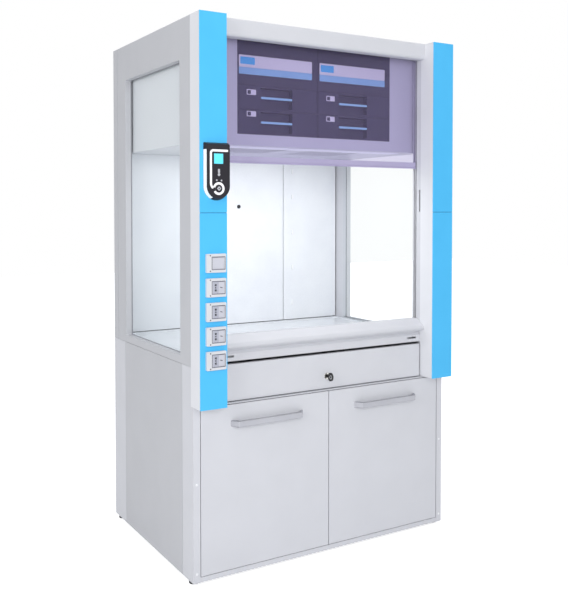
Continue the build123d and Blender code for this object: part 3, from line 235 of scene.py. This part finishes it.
def raised(outline, centre, thick, edge=0.0, facing="front"):
    """A plate from an outline: extruded by thick from centre, its far edge rounded by pulling the outline
    inwards along its normals by edge * (1 - cos) while it rises by edge * sin."""
    ahead = np.roll(outline, -1, 0) - np.roll(outline, 1, 0)
    normal = np.stack((ahead[:, 1], -ahead[:, 0]), 1)
    normal /= np.maximum(np.linalg.norm(normal, axis=1, keepdims=True), 1e-9)
    bend = np.linspace(0, math.pi / 2, 4) if edge else np.array([0.0])
    rise = np.concatenate(((0.0,), thick - edge + edge * np.sin(bend)))
    pull = np.concatenate(((0.0,), edge * (1 - np.cos(bend))))
    flat = outline[None] - normal[None] * pull[:, None, None]
    across, up = flat[..., 0:1], flat[..., 1:2]
    out = np.broadcast_to(rise[:, None, None], across.shape)
    rows = {"front": (across, -out, up), "left": (-out, -across, up)}[facing]
    points = np.concatenate(rows, 2).reshape(-1, 3) + np.asarray(centre, float)
    return points, strips(len(outline), len(rise))


mark_outline = annulus(mark_outer, mark_inner, closed_from, closed_to)
mark_shape = raised(mark_outline, (lock_x - head_half, eye_y, lock_level), mark_rise, facing="left")
mesh_piece("key_ring_mark", [mark_shape], "key", ring_mark)

# Sill and worktop: the sill is one folded steel sheet, coated as the cabinet is.
# The worktop is a glazed stoneware slab, ground flat and dished, with a soft sheen.
dress(grey_coat, "airfoil_sill")
stoneware = skin("glazed_stoneware_pale", "#E3E6EA", "#DDE1E6", 0.18, 4.0, 0.03, coat=0.3)
dress(stoneware, "worktop")

# Upper cabinet: the roof and the header over the sash are folded sheets as well.
# They wear the same baked coat as the base.
dress(grey_coat, "roof_panel", "header")

# Windows: 5 mm float glass, bonded behind each side wall; clear, with hardly any tint in its body.
# A grey rubber bead runs round each opening, tucked into the corner between jamb and glass.


def glazing(name, tint, veil, share, gain):
    """Glass that passes light straight through in its tint, with a share of gloss and veil on its face
    that grows by up to gain where it is seen at a slant."""
    made = blank(name)
    tree = made.node_tree
    place = add(tree, "ShaderNodeTexCoord").outputs["Object"]
    wave = add(tree, "ShaderNodeTexNoise", {"Vector": place, "Scale": 1.5, "Detail": 0.0}).outputs["Fac"]
    bump = add(tree, "ShaderNodeBump", {"Height": wave, "Strength": 0.05, "Distance": 0.2 * mm})
    normal = bump.outputs["Normal"]
    passed = add(tree, "ShaderNodeBsdfTransparent", {"Color": linear(tint)})
    face = {"Base Color": linear(veil), "Roughness": 0.03, "Normal": normal}
    gloss = add(tree, "ShaderNodeBsdfPrincipled", face)
    edge = add(tree, "ShaderNodeLayerWeight", {"Blend": 0.35, "Normal": normal})
    amount = between(tree, edge.outputs["Fresnel"], share, share + gain)
    parts = {0: amount, 1: passed.outputs["BSDF"], 2: gloss.outputs["BSDF"]}
    both = add(tree, "ShaderNodeMixShader", parts)
    add(tree, "ShaderNodeOutputMaterial", {"Surface": both.outputs["Shader"]})
    return made


window_glass = glazing("float_glass_clear", "#FEFFFF", "#E3E8E9", 0.012, 0.05)
dress(window_glass, "side_glass_left", "side_glass_right")

bead_rubber = skin("extruded_rubber_bead_grey", "#8E9096", "#85878D", 0.6, 1.5, 0.05)
window_front, window_back = 113, 689
window_low, window_high = 843, 1950
window_corner = 6
bead_radius = 2.5
glass_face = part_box("side_glass_left")[0].x / mm


def rounded(width, height, radius, steps):
    """Closed outline of a rounded rectangle: a quarter circle about each corner's centre, run in turn."""
    angle = np.radians(np.concatenate([np.linspace(q * 90, q * 90 + 90, steps) for q in range(4)]))
    middle_x = np.repeat((1, -1, -1, 1), steps) * (width / 2 - radius)
    middle_y = np.repeat((1, 1, -1, -1), steps) * (height / 2 - radius)
    return np.stack((middle_x + radius * np.cos(angle), middle_y + radius * np.sin(angle)), 1)


def bead(x, inward):
    """Bead round a window: a half circle of the bead's radius carried round the opening's outline."""
    path = rounded(window_back - window_front, window_high - window_low, window_corner, steps=5)
    path = path + ((window_front + window_back) / 2 + cabinet_front, (window_low + window_high) / 2)
    ahead = np.roll(path, -1, 0) - np.roll(path, 1, 0)
    ahead /= np.linalg.norm(ahead, axis=1, keepdims=True)
    inside = np.stack((-ahead[:, 1], ahead[:, 0]), 1)
    t = np.radians(np.linspace(0, 180, 7))
    across = path[:, None] + bead_radius * np.sin(t)[None, :, None] * inside[:, None]
    along_x = x + inward * bead_radius * (1 - np.cos(t))
    sideways = np.broadcast_to(along_x[None, :, None], (*across.shape[:2], 1))
    points = np.concatenate((sideways, across), 2).reshape(-1, 3)
    count, ring = len(path), len(t)
    i, j = np.meshgrid(np.arange(count), np.arange(ring), indexing="ij")
    next_i, next_j = (i + 1) % count, (j + 1) % ring
    corners = (i * ring + j, next_i * ring + j, next_i * ring + next_j, i * ring + next_j)
    faces = np.stack(corners, 2).reshape(-1, 4)
    return points, (faces if inward > 0 else faces[:, ::-1]).tolist()


bead_shapes = [bead(glass_face, -1), bead(-glass_face, 1)]
mesh_piece("window_beads", bead_shapes, "cabinet", bead_rubber)

# Chamber lining: baffles of solid laminate, melamine-faced, almost white, held off the back wall.
# The press plates leave a very even satin face. A small black probe senses the air flow.
laminate = skin("melamine_faced_laminate_white", "#E6E9ED", "#E2E5EA", 0.28, 2.5, 0.02)
dress(laminate, "baffle_centre", "baffle_sides")
probe_black = skin("moulded_abs_black", "#1E1F22", "#18191B", 0.4, 1.2, 0.04)
dress(probe_black, "flow_probe")

# Baffle clips: small white hooks of the same polyethylene as the plugs, with rounded corners.
# Five of them stand in a row at each outer side of the centre sheet.
baffle_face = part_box("baffle_centre")[0].y / mm
clip_width, clip_height, clip_thick = 9, 24, 5
clip_corner, clip_edge = 3, 1.2
clip_reach = 302
clip_levels = (926, 1102, 1277, 1453, 1580)
clip_outline = rounded(clip_width, clip_height, clip_corner, steps=4)
clip_shapes = [
    raised(clip_outline, (side * clip_reach, baffle_face, level), clip_thick, clip_edge)
    for side in (-1, 1)
    for level in clip_levels
]
mesh_piece("baffle_clips", clip_shapes, "cabinet", plug_white)

# Service columns: folded steel housings with snap-on fascias; their coat is a lighter grey than the
# cabinet's as painted light, for the stronger light that falls on them.
# The fascias are coated steel in sky blue, split into an upper and a lower piece.
painted_light_coat = skin("powder_coated_steel_painted_light_grey", "#DEDFE3", "#DCDDE1", 0.45, 1.6, 0.05, shine=0.35)
dress(painted_light_coat, "column_left", "column_right")
sky_blue = skin("powder_coated_steel_sky_blue", "#4DBAEF", "#4AB7EC", 0.45, 1.6, 0.05, shine=0.3)
dress(sky_blue, "fascia_left", "fascia_right")

# Seam strips: dark blue rubber in the joint between the upper and the lower fascia of each column.
# They are pressed in from the front and end a little below the fascias' faces.
seam_rubber = skin("extruded_rubber_dark_blue", "#3A93C2", "#378FBD", 0.6, 1.5, 0.04, shine=0.2)
fascia_low, fascia_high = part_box("fascia_left")
seam_x = (fascia_low.x + fascia_high.x) / 2 / mm
seam_y = fascia_high.y / mm
seam_level = 1380
seam_width, seam_height, seam_thick, seam_corner = 106, 2.6, 3.2, 0.5
seam_outline = rounded(seam_width, seam_height, seam_corner, steps=3)
seam_shapes = [raised(seam_outline, (side * seam_x, seam_y, seam_level), seam_thick) for side in (-1, 1)]
mesh_piece("fascia_seam_strips", seam_shapes, "cabinet", seam_rubber)

# Sash: two float-glass panes laminated with a violet film, which give the whole upper front its tint.
# The lower pane carries an extruded acrylic grip along its bottom edge, and plastic guides hold both.
violet_glass = glazing("laminated_glass_violet", "#F9F8FD", "#BDB4D2", 0.03, 0.06)
dress(violet_glass, "sash_pane", "upper_pane")
grip_acrylic = skin("extruded_acrylic_violet", "#ABA4C4", "#A59EBF", 0.15, 5.0, 0.02, coat=0.2)
dress(grip_acrylic, "sash_grip")
guide_plastic = skin("extruded_polyethylene_grey", "#CFD0D5", "#C8C9CE", 0.45, 1.5, 0.04)
dress(guide_plastic, "sash_guides", "shaft_bushes")

# Sash drive: ground steel shaft and carriages, black plastic pulleys and reinforced rubber belts.
# The counterweights are cast iron with a dull grey paint.
ground_steel = skin("ground_steel", "#B5B6B9", "#A8A9AD", 0.28, 0.8, 0.02, metallic=1.0)
dress(ground_steel, "drive_shaft", "sash_carriages", "pane_carriages")
dress(probe_black, "lower_pulleys")
belt_rubber = skin("reinforced_rubber_black", "#222225", "#1A1A1D", 0.65, 2.5, 0.1)
dress(belt_rubber, "sash_belts", "pane_belts")
weight_iron = skin("cast_iron_painted_grey", "#4A4C50", "#3F4145", 0.6, 2.2, 0.2)
dress(weight_iron, "counterweights")

# Filter modules: moulded ABS housings in dark violet-grey, side by side over the ceiling, each with
# two filter drawers. The plenum is coated steel; the fan duct and the lamp housing are galvanised.
module_abs = skin("moulded_abs_slate", "#37334B", "#322E45", 0.42, 1.2, 0.06)
drawer_abs = skin("moulded_abs_slate_drawer", "#3B3750", "#35314A", 0.45, 1.2, 0.06)
dress(module_abs, "filter_module_left", "filter_module_right")
dress(drawer_abs, "filter_drawers")
dress(painted_light_coat, "plenum")
galvanised = skin("galvanised_steel", "#B9BCBF", "#A5A8AC", 0.38, 14.0, 0.03, metallic=0.85)
dress(galvanised, "fan_duct", "lamp_housing")

# Control strips: printed polyester films on the strip over each module's drawers, pale above and with
# a blue band below. A lit screen with a rounded edge stands on the pale film, near its left end.
strip_film = skin("printed_polyester_film_white", "#F3F1F6", "#EFEDF3", 0.3, 2.0, 0.02)
band_film = skin("printed_polyester_film_blue", "#9CD0F3", "#97CBF0", 0.3, 2.0, 0.02)
drawer_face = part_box("filter_drawers")[0].y / mm
module_edges = [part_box(f"filter_module_{side}")[0].x / mm for side in ("left", "right")]
strip_left, strip_width, strip_proud = 5, 337, 2
strip_low, strip_high = 1914, 1990
strip_face = drawer_face - strip_proud
band_height = 28
film, film_margin = 0.3, 1
pale_corner, band_corner = 4, 2
pale_height = strip_high - strip_low - band_height - film_margin
pale_level = strip_high - film_margin - pale_height / 2
band_level = strip_low + film_margin + band_height / 2
screen_width, screen_height, screen_corner = 64, 28, 2
screen_from_edge, screen_level = 44, 1967.8
screen_rise, screen_edge = 0.8, 0.3


def lit(name, code, strength, roughness=0.2):
    """A lit screen: its colour glows through its cover, in level bands that differ by six hundredths."""
    made = blank(name)
    tree = made.node_tree
    place = add(tree, "ShaderNodeTexCoord").outputs["Object"]
    wave = {"Vector": place, "Scale": 40.0}
    lines = add(tree, "ShaderNodeTexWave", wave, bands_direction="Z").outputs["Fac"]
    shader = add(
        tree,
        "ShaderNodeBsdfPrincipled",
        {
            "Base Color": linear(code),
            "Roughness": roughness,
            "Emission Color": linear(code),
            "Emission Strength": between(tree, lines, strength * 0.94, strength),
        },
    )
    add(tree, "ShaderNodeOutputMaterial", {"Surface": shader.outputs["BSDF"]})
    return made


module_screen = lit("lit_display_blue", "#3DA4DC", 0.25)
pale_outline = rounded(strip_width - 2 * film_margin, pale_height, pale_corner, steps=6)
band_outline = rounded(strip_width - 2 * film_margin, band_height - film_margin, band_corner, steps=4)
screen_outline = rounded(screen_width, screen_height, screen_corner, steps=4)
strip_shapes, band_shapes, screen_shapes = [], [], []
for left in module_edges:
    strip_x = left + strip_left + strip_width / 2
    screen_place = (left + screen_from_edge, strip_face - film, screen_level)
    strip_shapes.append(raised(pale_outline, (strip_x, strip_face, pale_level), film))
    band_shapes.append(raised(band_outline, (strip_x, strip_face, band_level), film))
    screen_shapes.append(raised(screen_outline, screen_place, screen_rise, screen_edge))
mesh_piece("control_strip_films", strip_shapes, "cabinet", strip_film)
mesh_piece("control_strip_bands", band_shapes, "cabinet", band_film)
mesh_piece("module_screens", screen_shapes, "cabinet", module_screen)

# Drawer plates: small white film labels on the drawers' fronts, one on each drawer.
# Each has a square in the housing's dark violet-grey printed on it, left of its middle.
plate_width, plate_height, plate_from_edge, plate_rise = 41, 21, 62, 0.4
square_size, square_from_edge, square_rise = 15, 52, 0.2
plate_corner = 1
plate_levels = (1848, 1764)
plate_outline = rounded(plate_width, plate_height, plate_corner, steps=3)
square_outline = rounded(square_size, square_size, plate_corner, steps=3)
plate_shapes, square_shapes = [], []
for left in module_edges:
    for level in plate_levels:
        plate_place = (left + plate_from_edge, drawer_face, level)
        square_place = (left + square_from_edge, drawer_face - plate_rise, level)
        plate_shapes.append(raised(plate_outline, plate_place, plate_rise))
        square_shapes.append(raised(square_outline, square_place, square_rise))
mesh_piece("drawer_plates", plate_shapes, "cabinet", strip_film)
mesh_piece("drawer_plate_squares", square_shapes, "cabinet", module_abs)

# Grip bars: light-blue polycarbonate covers pressed onto the bars that cross the drawers' pockets.
# Each wraps the front of its bar with a rounded nose.
bar_blue = skin("moulded_polycarbonate_light_blue", "#A9DDFA", "#A3D8F7", 0.25, 3.0, 0.03, coat=0.3)
pocket_left, pocket_width = 103, 146
cover_width, cover_height, cover_corner = 144, 9, 4
cover_thick, cover_edge = 2.5, 1.2
cover_levels = (1828.6, 1732.6)
cover_outline = rounded(cover_width, cover_height, cover_corner, steps=6)
cover_from_edge = pocket_left + pocket_width / 2
cover_shapes = [
    raised(cover_outline, (left + cover_from_edge, drawer_face, level), cover_thick, cover_edge)
    for left in module_edges
    for level in cover_levels
]
mesh_piece("drawer_grip_covers", cover_shapes, "cabinet", bar_blue)

# Lamp: a frosted acrylic lens in the chamber's ceiling, under its steel housing.
# The light behind it makes the whole lens glow evenly.
lens_frosted = lit("frosted_acrylic_lit", "#F4F5FA", 0.12, 0.6)
dress(lens_frosted, "lamp_lens")

# Exhaust fan: a moulded impeller of black plastic on a motor of cast aluminium.
# The motor's finish is the same blasted one as the handles'.
dress(probe_black, "impeller")
dress(handle_metal, "fan_motor")

# Control pod: a moulding in dark satin ABS on the left column, flared towards the column.
# A printed white line runs down its face and joins the ring round its button.
pod_abs = skin("moulded_abs_charcoal_satin", "#232127", "#201E24", 0.5, 1.0, 0.04, shine=0.25)
dress(pod_abs, "control_pod", "pod_button")
pod_low, pod_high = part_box("control_pod")
pod_x = (pod_low.x + pod_high.x) / 2 / mm
pod_face = pod_low.y / mm
pod_base = pod_high.y / mm
inlay_white = skin("moulded_abs_white_gloss", "#FDFDFE", "#FAFAFB", 0.2, 3.0, 0.02, coat=0.3)
button_level = 1467
ring_outer, ring_inner = 23, 14.5
ring_from, ring_to = -150, 168
line_width, line_rise = 8, 0.5
line_left, line_right = -31, 34
line_top, line_foot = 1603, 1486
line_bend, line_hook, hook_end = 9, 22, 224


def ribbon(path, width):
    """Outline of a line with round ends: the path shifted to both sides by half the width, and a half
    circle round each end."""
    ahead = np.gradient(path, axis=0)
    ahead /= np.linalg.norm(ahead, axis=1, keepdims=True)
    side = np.stack((ahead[:, 1], -ahead[:, 0]), 1) * width / 2
    turn = np.radians(np.linspace(0, 180, 9))[1:-1, None]
    end = path[-1] + side[-1] * np.cos(turn) + ahead[-1] * width / 2 * np.sin(turn)
    start = path[0] - side[0] * np.cos(turn) - ahead[0] * width / 2 * np.sin(turn)
    return np.concatenate((path + side, end, (path - side)[::-1], start))


def arc(centre, radius, start, end, steps=8):
    """Points on a circle from one angle to another, in degrees."""
    angle = np.radians(np.linspace(start, end, steps))
    return np.asarray(centre, float) + radius * np.stack((np.cos(angle), np.sin(angle)), 1)


bend_x, bend_level = line_left + line_bend, line_top - line_bend
line_path = np.concatenate(
    (
        np.linspace((line_right, line_top), (bend_x, line_top), 12)[:-1],
        arc((bend_x, bend_level), line_bend, 90, 180),
        np.linspace((line_left, bend_level), (line_left, line_foot), 20)[1:],
        arc((line_left + line_hook, line_foot), line_hook, 180, hook_end)[1:],
    )
)
line_shape = raised(ribbon(line_path, line_width)[::-1], (pod_x, pod_face, 0), line_rise)
ring_outline = annulus(ring_outer, ring_inner, ring_from, ring_to)
ring_shape = raised(ring_outline, (pod_x, pod_face, button_level), line_rise)
mesh_piece("pod_printed_line", [line_shape, ring_shape], "cabinet", inlay_white)

# Pod's side inlay: a strip of glossy white ABS let into the flared outer side, a little proud of it.
# Its slanting section is carried straight down the side, then turned about the middle of the foot.
pod_half, pod_flare, pod_depth = 45, 6.5, 20
inlay_front, inlay_back = 3.5, 18.5
inlay_top, foot_middle, foot_sweep = 1607, 1476, 62
inlay_proud, inlay_thick = 0.35, 1.2
half_rows = 24
turn = np.concatenate((np.zeros(half_rows), np.linspace(0, foot_sweep, half_rows)))
turn = np.radians(turn)[:, None]
down = np.linspace(inlay_top, foot_middle, half_rows)
middle = np.concatenate((down, np.full(half_rows, foot_middle)))[:, None]
depth_share = np.linspace(inlay_front / pod_depth, inlay_back / pod_depth, 6)
half = (pod_half + pod_flare * depth_share + inlay_proud)[None]
x = pod_x - half * np.cos(turn)
y = np.broadcast_to(pod_face + (pod_base - pod_face) * depth_share, x.shape)
z = middle - half * np.sin(turn)
outer = np.stack((x, y, z), 2)
inner = np.stack((x + inlay_thick * np.cos(turn), y, z + inlay_thick * np.sin(turn)), 2)
section = np.concatenate((outer, inner[:, ::-1]), 1)
rows, ring = section.shape[:2]
inlay_shape = (section.reshape(-1, 3), strips(ring, rows))
mesh_piece("pod_side_inlay", [inlay_shape], "cabinet", inlay_white)

# Pod's screen and symbols: a lit cyan display in its recess, and small prints in pale grey ink below it.
# Each print is given by its place across and up, its width and height, its corners' radius and steps,
# and its rise.
cyan_screen = lit("lit_display_cyan", "#5CD2EA", 0.3)
print_grey = skin("printed_ink_pale_grey", "#B9BABF", "#B2B3B8", 0.45, 2.0, 0.02)
pod_screen_size, pod_screen_corner = 36.4, 1.5
pod_screen_level, pod_screen_recess = 1574, 1
pod_screen_rise, pod_screen_edge = 0.7, 0.2
pod_screen_outline = rounded(pod_screen_size, pod_screen_size, pod_screen_corner, steps=4)
pod_screen_place = (pod_x, pod_face + pod_screen_recess, pod_screen_level)
pod_screen_shape = raised(pod_screen_outline, pod_screen_place, pod_screen_rise, pod_screen_edge)
mesh_piece("pod_screen", [pod_screen_shape], "cabinet", cyan_screen)
print_shapes = [
    raised(rounded(width, height, corner, steps), (pod_x + across, pod_face, level), rise)
    for across, level, width, height, corner, steps, rise in (
        (1, 1530, 8, 15, 2.5, 5, 0.4),
        (1, 1517, 10, 10, 4.5, 6, 0.5),
        (-8, 1497, 6, 6, 2.5, 5, 0.4),
        (11, 1496, 6, 6, 2.5, 5, 0.4),
    )
]
mesh_piece("pod_symbols", print_shapes, "cabinet", print_grey)

# Button: a cap of the pod's own plastic with a diamond printed on it in the same pale ink.
# The diamond has a small dark eye, and both move with the cap.
button_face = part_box("pod_button")[0].y / mm
diamond_half, diamond_rise = 8.5, 0.4
eye_half, eye_rise = 3, 0.2
diamond_outline = np.array([(1, 0), (0, 1), (-1, 0), (0, -1)], float)
diamond = raised(diamond_outline * diamond_half, (pod_x, button_face, button_level), diamond_rise)
mesh_piece("button_diamond", [diamond], "button", print_grey, smooth=False)
eye = raised(diamond_outline * eye_half, (pod_x, button_face - diamond_rise, button_level), eye_rise)
mesh_piece("button_diamond_eye", [eye], "button", pod_abs, smooth=False)

# Wiring boxes: white ABS frames with pale grey socket and rocker modules.
# Each is held by two zinc-plated screws at its left, one near the top and one near the bottom.
box_white = skin("moulded_abs_white", "#D0D1D5", "#CDCED2", 0.45, 1.6, 0.04, shine=0.35)
key_white = skin("moulded_abs_rocker_pale", "#C4C5CE", "#C0C1CA", 0.4, 1.6, 0.03, shine=0.35)
socket_grey = skin("moulded_abs_socket_grey", "#AEB0BC", "#A9ABB8", 0.5, 1.6, 0.03, shine=0.3)
dress(box_white, "wiring_boxes")
dress(key_white, "rocker_1", "rocker_2", "rocker_3", "rocker_4", "rocker_5")
dress(socket_grey, "socket_modules")
box_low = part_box("wiring_boxes")[0]
box_left = box_low.x / mm
box_face = box_low.y / mm
box_count, box_pitch, box_top, box_height = 5, 88.3, 1232.5, 68
box_levels = [box_top - box_height / 2 - i * box_pitch for i in range(box_count)]
screw_radius, screw_rise = 2.6, 0.9
screw_from_left, screw_from_middle = 14.5, 28
screw_x = box_left + screw_from_left
screw_steel = skin("zinc_plated_screw", "#6C6A70", "#5F5D63", 0.35, 0.8, 0.03, metallic=0.8)
screw_shapes = [
    dome(screw_radius, screw_rise, (screw_x, box_face, level + side * screw_from_middle))
    for level in box_levels
    for side in (-1, 1)
]
mesh_piece("box_screws", screw_shapes, "cabinet", screw_steel)

# Groove shade: dark strips round the modules' bay in each box, as painted shade in the groove between the
# box and its modules.
# Each is four thin strips with rounded corners that lie on the face of the box.
groove_shade_dark = skin("painted_groove_shade_grey", "#6E6F7A", "#686974", 0.6, 1.2, 0.03, shine=0.3)
bay_low, bay_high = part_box("rocker_1")
bay_x = (bay_low.x + bay_high.x) / 2 / mm
spare_across, spare_up = 2, 3
bay_width = (bay_high.x - bay_low.x) / mm + spare_across
bay_height = (bay_high.z - bay_low.z) / mm + spare_up
groove_shade_width, groove_shade_corner, groove_shade_rise = 2.6, 1, 0.4
long_extra = 5
long_outline = rounded(bay_width + long_extra, groove_shade_width, groove_shade_corner, steps=3)
tall_outline = rounded(groove_shade_width, bay_height, groove_shade_corner, steps=3)
side_reach = bay_width / 2 + groove_shade_width / 2
groove_shade_shapes = []
for level in box_levels:
    for side in (-1, 1):
        long_place = (bay_x, box_face, level + side * bay_height / 2)
        tall_place = (bay_x + side * side_reach, box_face, level)
        groove_shade_shapes.append(raised(long_outline, long_place, groove_shade_rise))
        groove_shade_shapes.append(raised(tall_outline, tall_place, groove_shade_rise))
mesh_piece("box_groove_shade", groove_shade_shapes, "cabinet", groove_shade_dark)

# Socket holes: dark discs at the bottom of the contact holes and a thin dark rim round the mouth of each
# hole, as painted shade in the holes. The rim of the middle hole is narrower than the other two.
hole_shade_dark = skin("painted_hole_shade_dark", "#2A2A30", "#232329", 0.6, 1.2, 0.03)
socket_low, socket_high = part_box("socket_modules")
socket_x = (socket_low.x + socket_high.x) / 2 / mm
socket_face = socket_low.y / mm
socket_pitch = 9.5
disc_size, disc_corner, disc_setback, disc_rise = 4.8, 2.39, 2.9, 0.6
rim_inner, outer_rim, middle_rim, rim_rise = 2.45, 4.0, 2.9, 0.2
disc_outline = rounded(disc_size, disc_size, disc_corner, steps=6)
hole_shade_shapes = []
for level in box_levels[1:]:
    for step, rim in ((-1, outer_rim), (0, middle_rim), (1, outer_rim)):
        hole_level = level + step * socket_pitch
        rim_outline = annulus(rim, rim_inner, closed_from, closed_to)
        hole_shade_shapes += [
            raised(disc_outline, (socket_x, socket_face + disc_setback, hole_level), disc_rise),
            raised(rim_outline, (socket_x, socket_face, hole_level), rim_rise),
        ]
mesh_piece("socket_hole_shade", hole_shade_shapes, "cabinet", hole_shade_dark)

# Rocker marks: one small slanting bar in grey ink on each of the four lower rockers.
# Each mark tips with its rocker.
mark_ink = skin("printed_ink_grey", "#55565F", "#505159", 0.5, 2.0, 0.02)
bar_length, bar_width, bar_corner = 10, 2.8, 1.2
bar_proud, bar_rise = 1.2, 0.5
bar_slant = math.radians(15)
slant_rows = [(math.cos(bar_slant), -math.sin(bar_slant)), (math.sin(bar_slant), math.cos(bar_slant))]
bar_outline = rounded(bar_length, bar_width, bar_corner, steps=4) @ np.array(slant_rows)
for number, level in enumerate(box_levels[1:], 2):
    low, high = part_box(f"rocker_{number}")
    mark = raised(bar_outline, ((low.x + high.x) / 2 / mm, box_face + bar_proud, level), bar_rise)
    mesh_piece(f"rocker_{number}_mark", [mark], f"switch_{number}", mark_ink)

# Studio: a white surround that lights the hood with a soft even glow.
# The camera, mirrors and glass see it as plain white.
world = bpy.data.worlds.new("studio")
bpy.context.scene.world = world
world.use_nodes = True
world.node_tree.nodes.clear()


def larger(tree, first, second):
    """The larger of two values."""
    return add(tree, "ShaderNodeMath", {0: first, 1: second}, operation="MAXIMUM").outputs["Value"]


tree = world.node_tree
rays = add(tree, "ShaderNodeLightPath").outputs
seen = larger(tree, rays["Is Camera Ray"], rays["Is Glossy Ray"])
direct = larger(tree, seen, rays["Is Transmission Ray"])
glow = add(tree, "ShaderNodeBackground", {"Color": linear("#F4F6FA"), "Strength": 0.62})
white = add(tree, "ShaderNodeBackground", {"Color": linear("#FFFFFF"), "Strength": 1.0})
parts = {0: direct, 1: glow.outputs["Background"], 2: white.outputs["Background"]}
both = add(tree, "ShaderNodeMixShader", parts)
add(tree, "ShaderNodeOutputWorld", {"Surface": both.outputs["Shader"]})

# Floor: a wide flat sheet in matt pale paint, on which the hood's shadow falls.
# For the camera and for mirrors a weak glow lifts it towards the white of the surround.
floor_reach = 14000
floor_paint = blank("studio_floor_white")
tree = floor_paint.node_tree
rays = add(tree, "ShaderNodeLightPath").outputs
matt = add(tree, "ShaderNodeBsdfDiffuse", {"Color": linear("#F2F2F3")})
lift = add(tree, "ShaderNodeEmission", {"Color": linear("#FFFFFF"), "Strength": 0.72})
shown = add(tree, "ShaderNodeAddShader", {0: matt.outputs["BSDF"], 1: lift.outputs["Emission"]})
seen = larger(tree, rays["Is Camera Ray"], rays["Is Glossy Ray"])
parts = {0: seen, 1: matt.outputs["BSDF"], 2: shown.outputs["Shader"]}
pick = add(tree, "ShaderNodeMixShader", parts)
add(tree, "ShaderNodeOutputMaterial", {"Surface": pick.outputs["Shader"]})
floor_corners = np.array([(-1, -1, 0), (1, -1, 0), (1, 1, 0), (-1, 1, 0)]) * floor_reach * mm
floor_mesh = bpy.data.meshes.new("studio_floor")
floor_mesh.from_pydata(floor_corners.tolist(), [], [(0, 1, 2, 3)])
floor_mesh.materials.append(floor_paint)
floor = bpy.data.objects.new("studio_floor", floor_mesh)
bpy.context.scene.collection.objects.link(floor)

# Lamps: three large soft boxes round the hood, in front, at its left and overhead.
# One weak lamp inside the chamber stands in for the light of the lens in its ceiling.


def softbox(name, place, target, size, power, tall=None):
    """An area lamp at a place, in metres, turned to face a target."""
    lamp = bpy.data.lights.new(name, "AREA")
    lamp.energy = power
    lamp.size = size
    if tall:
        lamp.shape = "RECTANGLE"
        lamp.size_y = tall
    holder = bpy.data.objects.new(name, lamp)
    bpy.context.scene.collection.objects.link(holder)
    place = Vector(place)
    turn = (place - Vector(target)).to_track_quat("Z", "Y")
    holder.matrix_world = Matrix.LocRotScale(place, turn, None)


softbox("front_softbox", (-1.1, -3.6, 1.9), (0, 0, 1.5), size=1.6, power=46)
softbox("left_softbox", (-4.3, -2.2, 2.3), (0, 0, 1.3), size=2.4, power=60)
softbox("top_softbox", (0.5, -0.5, 5.0), (0, 0, 1.0), size=3.0, power=55)
chamber_place = (0, (cabinet_front + 300) * mm, 1.6)
chamber_target = (0, (cabinet_front + 420) * mm, 0.9)
softbox("chamber_lamp", chamber_place, chamber_target, size=0.9, power=3, tall=0.3)

# Camera: level-looking view from the front left, slightly tipped down, with its frame shifted down.
# Its place is given from the middle of the cabinet's front and from the floor, in millimetres, and its
# turns in radians.
camera_across, camera_before, camera_level = -1852.6, 2722.2, 1396.3
camera_yaw, camera_pitch = 0.5424, -0.0277
camera_data = bpy.data.cameras.new("viewpoint")
camera_data.sensor_width = 36
camera_data.lens = 49.17
camera_data.shift_y = -0.115
camera_data.clip_end = 100
camera = bpy.data.objects.new("viewpoint", camera_data)
bpy.context.scene.collection.objects.link(camera)
camera.location = (camera_across * mm, (cabinet_front - camera_before) * mm, camera_level * mm)
camera.rotation_euler = (math.pi / 2 + camera_pitch, 0, -camera_yaw)
bpy.context.scene.camera = camera
bpy.context.scene.view_settings.view_transform = "Standard"

bpy.context.view_layer.update()
